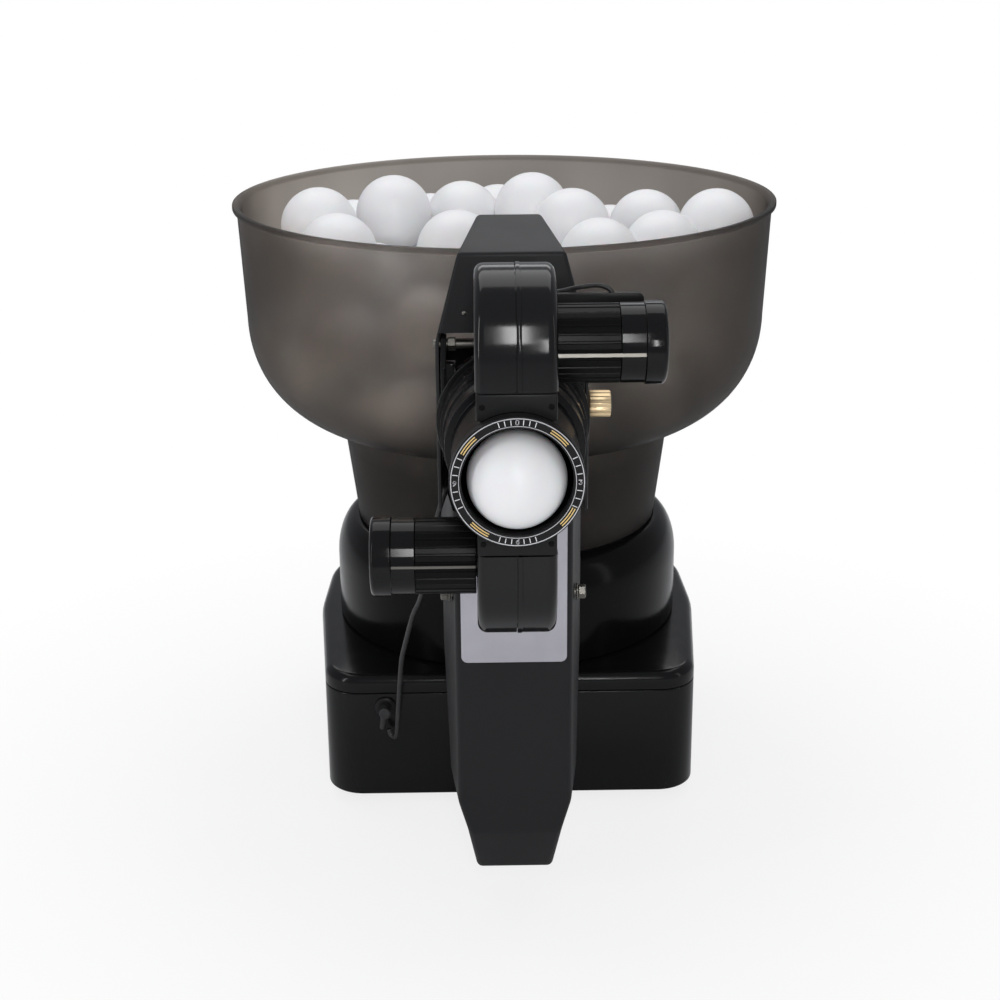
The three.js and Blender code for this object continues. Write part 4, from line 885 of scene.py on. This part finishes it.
def make_dial():
    profile = rounded([(22.1, DIAL_Y, 0.6), (26.8, DIAL_Y, 0.6), (26.8, -290.3, 0.2), (22.1, -290.3, 0.2)],
                      step=20)
    piece("dial_ring", on_axis(spun(profile, "Y", 144)), "head", "satin_black", "spin_dial")
    lines = [spun([(r - w, -0.06), (r + w, -0.06), (r + w, 0.06), (r - w, 0.06)], "Y", 144)
             for r, w in ((22.95, 0.12), (26.05, 0.18))]
    piece("dial_lines", on_axis(joined(*lines), DIAL_Y), "head", "print_silver")
    middle_line, size, pen = 24.5, 0.55, 0.32
    white = []
    for digit, angle, reach in (("0", 90, 17), ("3", 0, 24), ("6", 270, 17), ("9", 180, 24)):
        number = stroke([(u * size, v * size) for u, v in STROKES[digit]], pen)
        a = math.radians(angle)
        white.append(moved(number, middle_line * math.cos(a), 0, middle_line * math.sin(a)))
        for k in (-3, -2, -1, 1, 2, 3):
            tick = math.radians(angle + k * reach / 3)
            ends = [(r * math.cos(tick), r * math.sin(tick)) for r in (23.6, 25.4)]
            white.append(stroke(ends, pen))
    piece("dial_numbers", on_axis(joined(*white), DIAL_Y), "head", "print_white")
    gold = [ring_bar(radius, 0.45, a - 10, a + 10) for a in (141, 48, -36, -128) for radius in (24, 25)]
    piece("dial_dashes", on_axis(joined(*gold), DIAL_Y), "head", "print_gold")


HOUSING_LOW, CLAMP_TOP = 33.9, 33.6
CAN_RADIUS, CAP_RADIUS = 16.1, 16.8
FINS = 30


def housing_outline(radius, low):
    return [(-radius, low), *arc((0, SPREAD), radius, 180, 0, 4), (radius, low)][::-1]


def set_unit(bm, level):
    """From a unit's own frame to the model's; the lower unit is the upper one turned half round."""
    if level == "lower":
        turned_by(bm, 180, "Y")
    return on_axis(bm, WHEELS_Y)


def on_shaft(bm, level):
    """To a unit's place from a frame with its X axis along the wheel's shaft."""
    return set_unit(moved(bm, 0, 0, SPREAD), level)


def make_unit(level):
    whole = slab(housing_outline(32.5, 25.6), -16.3, 16.3, "X", 4, 8)
    hollow = slab(housing_outline(30.7, 20), -14.5, 14.5, "X")
    shaft_bore = moved(disc(9.3, 8, 20, "X", 0), 0, 0, SPREAD)
    shell = carved(whole, hollow, block((-40, -40, 0), (40, 40, HOUSING_LOW)), shaft_bore)
    for name, sign in (("inner", 1), ("outer", -1)):
        half = cut_away(shell.copy(), (sign * 0.15, 0, 0), (-sign, 0, 0))
        if (sign > 0) == (level == "upper"):
            low, high = sorted((sign * 0.2, sign * 2.2))
            lip = slab(housing_outline(32.8, HOUSING_LOW), low, high, "X", 0.3, 2)
            lip = carved(lip, slab(housing_outline(31, 20), -5, 5, "X"))
            tongue = carved(slab(housing_outline(30.6, HOUSING_LOW), -1.5, 1.5, "X"),
                            slab(housing_outline(29.8, 20), -3, 3, "X"))
            half = joined(half, lip, tongue)
        piece(f"{level}_shell_{name}", set_unit(half, level), "head", "shell_black",
              f"{level}_housing_{name}")
    plate = block((-15.9, -32.5, 22.5), (15.9, 32.5, CLAMP_TOP), 0.8, 3)
    line = [p[:2] for p in barrel_outline(0.3)]
    around = spun([(0, -300), (26.5, -300), *line[1:], (31.8, -200), (0, -200)], "Y", 128, closed=False)
    reach = wheel_reach(CLAMP_TOP)
    slot = block((-SLOT_HALF, -reach, 0), (SLOT_HALF, reach, 40))
    plate = carved(plate, moved(around, 0, -WHEELS_Y, 0), slot)
    piece(f"{level}_clamp", set_unit(plate, level), "head", "satin_black", f"{level}_clamp_plate")
    screws = [moved(disc(1.2, 0, 0.8, "Y", 0.3, 24), x, -32.9, 28.4) for x in (-13.6, 13.6)]
    piece(f"{level}_clamp_screws", set_unit(joined(*screws), level), "head", "motor_black")
    make_motor(level)
    make_tyre(level)


def make_motor(level):
    fins = []
    for i in range(FINS):
        for share, depth in ((0, 0), (0.6, 0), (0.7, 0.35), (0.9, 0.35)):
            a = math.tau * (i + share) / FINS
            radius = CAN_RADIUS - depth
            fins.append((radius * math.cos(a), radius * math.sin(a)))
    can = slab(fins, 16.6, 41.8, "X", 0.2, 1)
    boss = disc(9, 15.4, 17.8, "X", 0.3)
    piece(f"{level}_can", on_shaft(joined(can, boss), level), "head", "motor_black", f"{level}_motor_can")
    rib = slab([(-15, -0.75), (-16.7, -0.65), (-16.1, 0.65), (-15, 0.75)], 16.8, 51.6, "X", 0.1, 1)
    rib = turned_by(rib, 3.5, "X")
    piece(f"{level}_rib", on_shaft(rib, level), "head", "dark_steel")
    profile = rounded([(0, 41.9), (16.15, 41.9, 0.3), (16.15, 51.6, 0.2), (CAP_RADIUS, 52, 0.4),
                       (CAP_RADIUS, 60.5, 2), (0, 60.5)], closed=False, step=8)
    cap = spun(profile, "X", 96, closed=False)
    piece(f"{level}_cap", on_shaft(cap, level), "head", "cap_black", f"{level}_motor_cap")


def make_tyre(level):
    profile = rounded([(22, -10, 0.4), (TYRE_RADIUS, -10, 1.6), (TYRE_RADIUS, 10, 1.6), (22, 10, 0.4)],
                      step=15)
    tyre = spun(profile, "X", 128)
    piece(f"{level}_tyre_ring", on_shaft(tyre, level), f"{level}_wheel", "tyre_rubber", f"{level}_tyre")


def make_terminals():
    outline = rounded([(17.6, 278.4, 0.5), (53.4, 278.4, 3), (53.4, 304.8, 3), (17.6, 304.8, 0.5)])
    piece("terminal_bar", slab(outline, -238.6, -236.6, "Y", 0.4, 2), "head", "satin_black", "terminal_plate")
    points = [(40.9, 18.4, 59.6), (39.6, 18.6, 62.6), (35, 19.6, 64.4), (27, 21, 63.4), (20, 23, 61.4),
              (17.1, 23.6, 61)]
    wire = swept(curved(points), 1, 16)
    piece("terminal_wire", on_axis(wire, WHEELS_Y), "head", "lead_black", "terminal_lead")


# Balls

BALL = 20
MUZZLE_BALL = (0, -285, 241.2)
HEAP_COUNT, HEAP_SEED = 84, 7
HEAP_TURNS, FALLING_TURNS = 700, 450
HEAP_FLOOR, CONE_TOP, HEAP_TOP = 129.5, 148, 266
# Column and row in the picture, and the distance back from the bowl's middle
TOP_BALLS = [(319.5, 226, -28), (338, 253, -66), (394, 213, -4), (463, 218, 12), (457, 250, -75),
             (532, 210, -2), (572, 227, -36), (599.5, 258, -81), (646, 226.5, 6), (662.5, 249.5, -58),
             (716, 227, -30), (355, 236, 28), (431, 229, 48), (498, 219.5, 62), (610, 240.5, 40)]


def bowl_radius(z):
    """Inner radius of the hopper for a ball's middle at a height."""
    inside = offset(bowl_outside(), BOWL_WALL, closed=False)
    line = [(NECK_BORE, 0), (NECK_BORE, NECK_FOOT), *inside]
    radii, heights = zip(*line)
    return np.interp(z, heights, radii)


def ball_places():
    """Balls heaped in the hopper: those that show lie where they were seen, the rest settle below."""
    camera = bpy.context.scene.camera
    focal = camera.data.lens / camera.data.sensor_width * IMAGE
    start = camera.matrix_world.translation / MM
    shown = []
    for u, v, back in TOP_BALLS:
        ray = camera.matrix_world.to_3x3() @ Vector(((u - IMAGE / 2) / focal, (IMAGE / 2 - v) / focal, -1))
        shown.append(start + ray * ((back - start.y) / ray.y))
    fixed = len(shown)
    drop, gap, firmness, far = 0.3, 0.2, 0.6, 1000
    rng = np.random.default_rng(HEAP_SEED)
    places = np.vstack([np.array(shown), rng.uniform((-80, -80, 135), (80, 80, 262), (HEAP_COUNT, 3))])
    itself = np.eye(len(places)) * far
    for turn in range(HEAP_TURNS):
        places[fixed:, 2] -= drop if turn < FALLING_TURNS else 0
        apart = places[:, None] - places[None]
        reach = np.sqrt((apart ** 2).sum(2)) + itself
        push = (np.clip(2 * BALL + gap - reach, 0, None) / reach)[..., None] * apart * firmness
        places[fixed:] += push.sum(1)[fixed:]
        out = np.hypot(places[:, 0], places[:, 1])
        lower_room = bowl_radius(places[:, 2] - BALL * 0.6) + BALL * 0.1
        room = np.minimum(bowl_radius(places[:, 2]), lower_room) - BALL
        over = out > room
        over[:fixed] = False
        places[over, :2] *= (room[over] / out[over])[:, None]
        floor = np.where(out[fixed:] < 30, CONE_TOP, HEAP_FLOOR)
        places[fixed:, 2] = np.clip(places[fixed:, 2], floor, HEAP_TOP)
    return places, fixed


def make_balls():
    places, fixed = ball_places()
    for name, some, rings in (("top_balls", places[:fixed], 24), ("hopper_balls", places[fixed:], 14)):
        ball = bmesh.new()
        bmesh.ops.create_uvsphere(ball, u_segments=2 * rings, v_segments=rings, radius=BALL)
        mesh = as_mesh(name, ball)
        bm = bmesh.new()
        here = Matrix()
        for place in some:
            turn = Matrix.Rotation(place[0], 4, "X") @ Matrix.Rotation(place[1], 4, "Y")
            there = Matrix.Translation(place) @ turn
            mesh.transform(there @ here.inverted())
            here = there
            bm.from_mesh(mesh)
        piece(name, bm, "turntable", "ball_white")
    bm = bmesh.new()
    bmesh.ops.create_uvsphere(bm, u_segments=96, v_segments=48, radius=BALL,
                              matrix=Matrix.Translation(MUZZLE_BALL))
    piece("muzzle_ball", bm, "head", "ball_white")


# Lead

LEAD_RADIUS = 1.2
LEAD = [(-28.5, -188.7, 207.6), (-29, -191.6, 206.2), (-31, -193, 202), (-33.2, -192.3, 195),
        (-34.8, -189.5, 187), (-38.4, -178, 163), (-44, -163, 139), (-47.8, -157, 128.4),
        (-52.2, -147, 109.8), (-54.6, -141, 98.5), (-55.9, -136, 87.3), (-57.2, -129, 73),
        (-58.6, -121, 57), (-59.7, -114.5, 44.5), (-60.6, -111, 39.4), (-62.4, -108.2, 38),
        (-63.8, -107.4, 39.6), (-64.2, -107.2, 41.8)]


def make_lead():
    path = curved(LEAD)
    bm = swept(path, LEAD_RADIUS, 20)
    bmesh.ops.scale(bm, verts=bm.verts, vec=(MM, MM, MM))
    for face in bm.faces:
        face.smooth = True
    mesh = as_mesh("lead", bm)
    mesh.materials.append(MATERIALS["lead_black"])
    lead = placed("lead", mesh)
    metres = [tuple(p * MM) for p in path]
    length = sum((b - a).length for a, b in zip(path, path[1:])) * MM
    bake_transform(lead)
    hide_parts("lead_upper", "lead_lower")
    profile = rounded([(2.6, -1.8), (4.6, -1.8, 0.3), (5.6, -1.3, 0.5), (5.6, -0.3), (4.5, -0.3), (4.5, 12),
                       (0, 12), (0, 9), (2.6, 9)], step=20)
    piece("jack_socket", moved(spun(profile, "Y", 48), *JACK), "base", "satin_black", "lead_jack")
    body = spun(rounded([(0, -9.1), (3.2, -9.1, 1), (3.2, -2.1, 0.3), (2.3, -2.1), (2.3, 5.7, 0.4), (0, 5.7)],
                        closed=False, step=20), "Y", 48, closed=False)
    boot = spun(rounded([(0, 0), (2.3, 0, 0.4), (1.5, -10, 0.3), (0, -10)], closed=False, step=20), "Z", 40,
                closed=False)
    turned_by(boot, 10, "Y")
    moved(boot, 0, -5.6, 0)
    plug_piece = piece("plug", moved(joined(body, boot), *JACK), "base", "lead_black", "lead_plug")


# Lights and backdrop

FLOOR_Z = -0.0069


def lamp(name, place, target, size, power):
    data = bpy.data.lights.new(name, "AREA")
    data.shape = "RECTANGLE"
    data.size, data.size_y = size
    data.energy = power
    made = placed(name, data)
    place = Vector(place)
    made.location = place
    made.rotation_euler = (Vector(target) - place).to_track_quat("-Z", "Y").to_euler()


def seen_directly(tree):
    """1 for what the camera sees straight or through a wall."""
    path = tree.nodes.new("ShaderNodeLightPath")
    either = tree.nodes.new("ShaderNodeMath")
    either.operation = "MAXIMUM"
    tree.links.new(path.outputs["Is Camera Ray"], either.inputs[0])
    tree.links.new(path.outputs["Is Transmission Ray"], either.inputs[1])
    return either.outputs[0]


def make_floor():
    """White floor that keeps the shadow under the object and is plain white further out."""
    bm = bmesh.new()
    bmesh.ops.create_grid(bm, x_segments=1, y_segments=1, size=12)
    bmesh.ops.translate(bm, verts=bm.verts, vec=(0, 0, FLOOR_Z))
    mesh = as_mesh("floor", bm)
    finish = Finish("floor_white", (0.9, 0.9, 0.9), 0.7)
    tree = finish.tree
    forward, near, far = 0.08, 0.16, 0.42
    x, y, _ = finish.axes()
    y = y + forward
    away = finish.node("Math", {"operation": "SQRT"}, (x * x + y * y,))
    glow = finish.ramp(away, near, far, 0.8, 1) * Value(finish, seen_directly(tree))
    light = tree.nodes.new("ShaderNodeEmission")
    blend = tree.nodes.new("ShaderNodeMixShader")
    tree.links.new(glow.socket, blend.inputs[0])
    tree.links.new(finish.shader.outputs[0], blend.inputs[1])
    tree.links.new(light.outputs[0], blend.inputs[2])
    tree.links.new(blend.outputs[0], tree.nodes["Material Output"].inputs[0])
    mesh.materials.append(finish.material)
    placed("floor", mesh)


def make_world():
    world = bpy.data.worlds.new("backdrop")
    world.use_nodes = True
    tree = world.node_tree
    soft = tree.nodes["Background"]
    soft.inputs["Color"].default_value = (0.93, 0.95, 1, 1)
    soft.inputs["Strength"].default_value = 0.38
    white = tree.nodes.new("ShaderNodeBackground")
    white.inputs["Color"].default_value = (1, 1, 1, 1)
    white.inputs["Strength"].default_value = 1
    pick = tree.nodes.new("ShaderNodeMixShader")
    tree.links.new(seen_directly(tree), pick.inputs[0])
    tree.links.new(soft.outputs[0], pick.inputs[1])
    tree.links.new(white.outputs[0], pick.inputs[2])
    tree.links.new(pick.outputs[0], tree.nodes["World Output"].inputs[0])
    bpy.context.scene.world = world
    bpy.context.scene.view_settings.view_transform = "Standard"


def make_stage():
    lamp("key", (0.02, -1.23, 0.76), (0, -0.2, 0.25), (0.1, 0.46), 3.3)
    lamp("top", (0, 0.38, 1.35), (0, 0, 0.25), (1.4, 0.9), 7.2)
    lamp("back", (0, 1.3, 1), (0, -0.1, 0.3), (1.2, 0.25), 1.5)
    lamp("left_strip", (-1, -0.7, 0.55), (0, -0.1, 0.2), (0.07, 0.9), 2.4)
    lamp("right_strip", (1.1, -0.5, 0.45), (0, -0.1, 0.15), (0.07, 0.9), 0.6)
    lamp("cap_strip", (0.155, -1.25, 0.48), (0.055, -0.27, 0.29), (0.03, 0.3), 0.9)
    make_floor()
    make_world()


for make in (make_lead, make_base, make_rear_fittings, make_turntable, make_ball_path, make_column, make_yoke,
             make_knob, make_carrier, make_barrel, make_dial, make_terminals, make_balls, make_stage):
    make()
for unit in ("upper", "lower"):
    make_unit(unit)
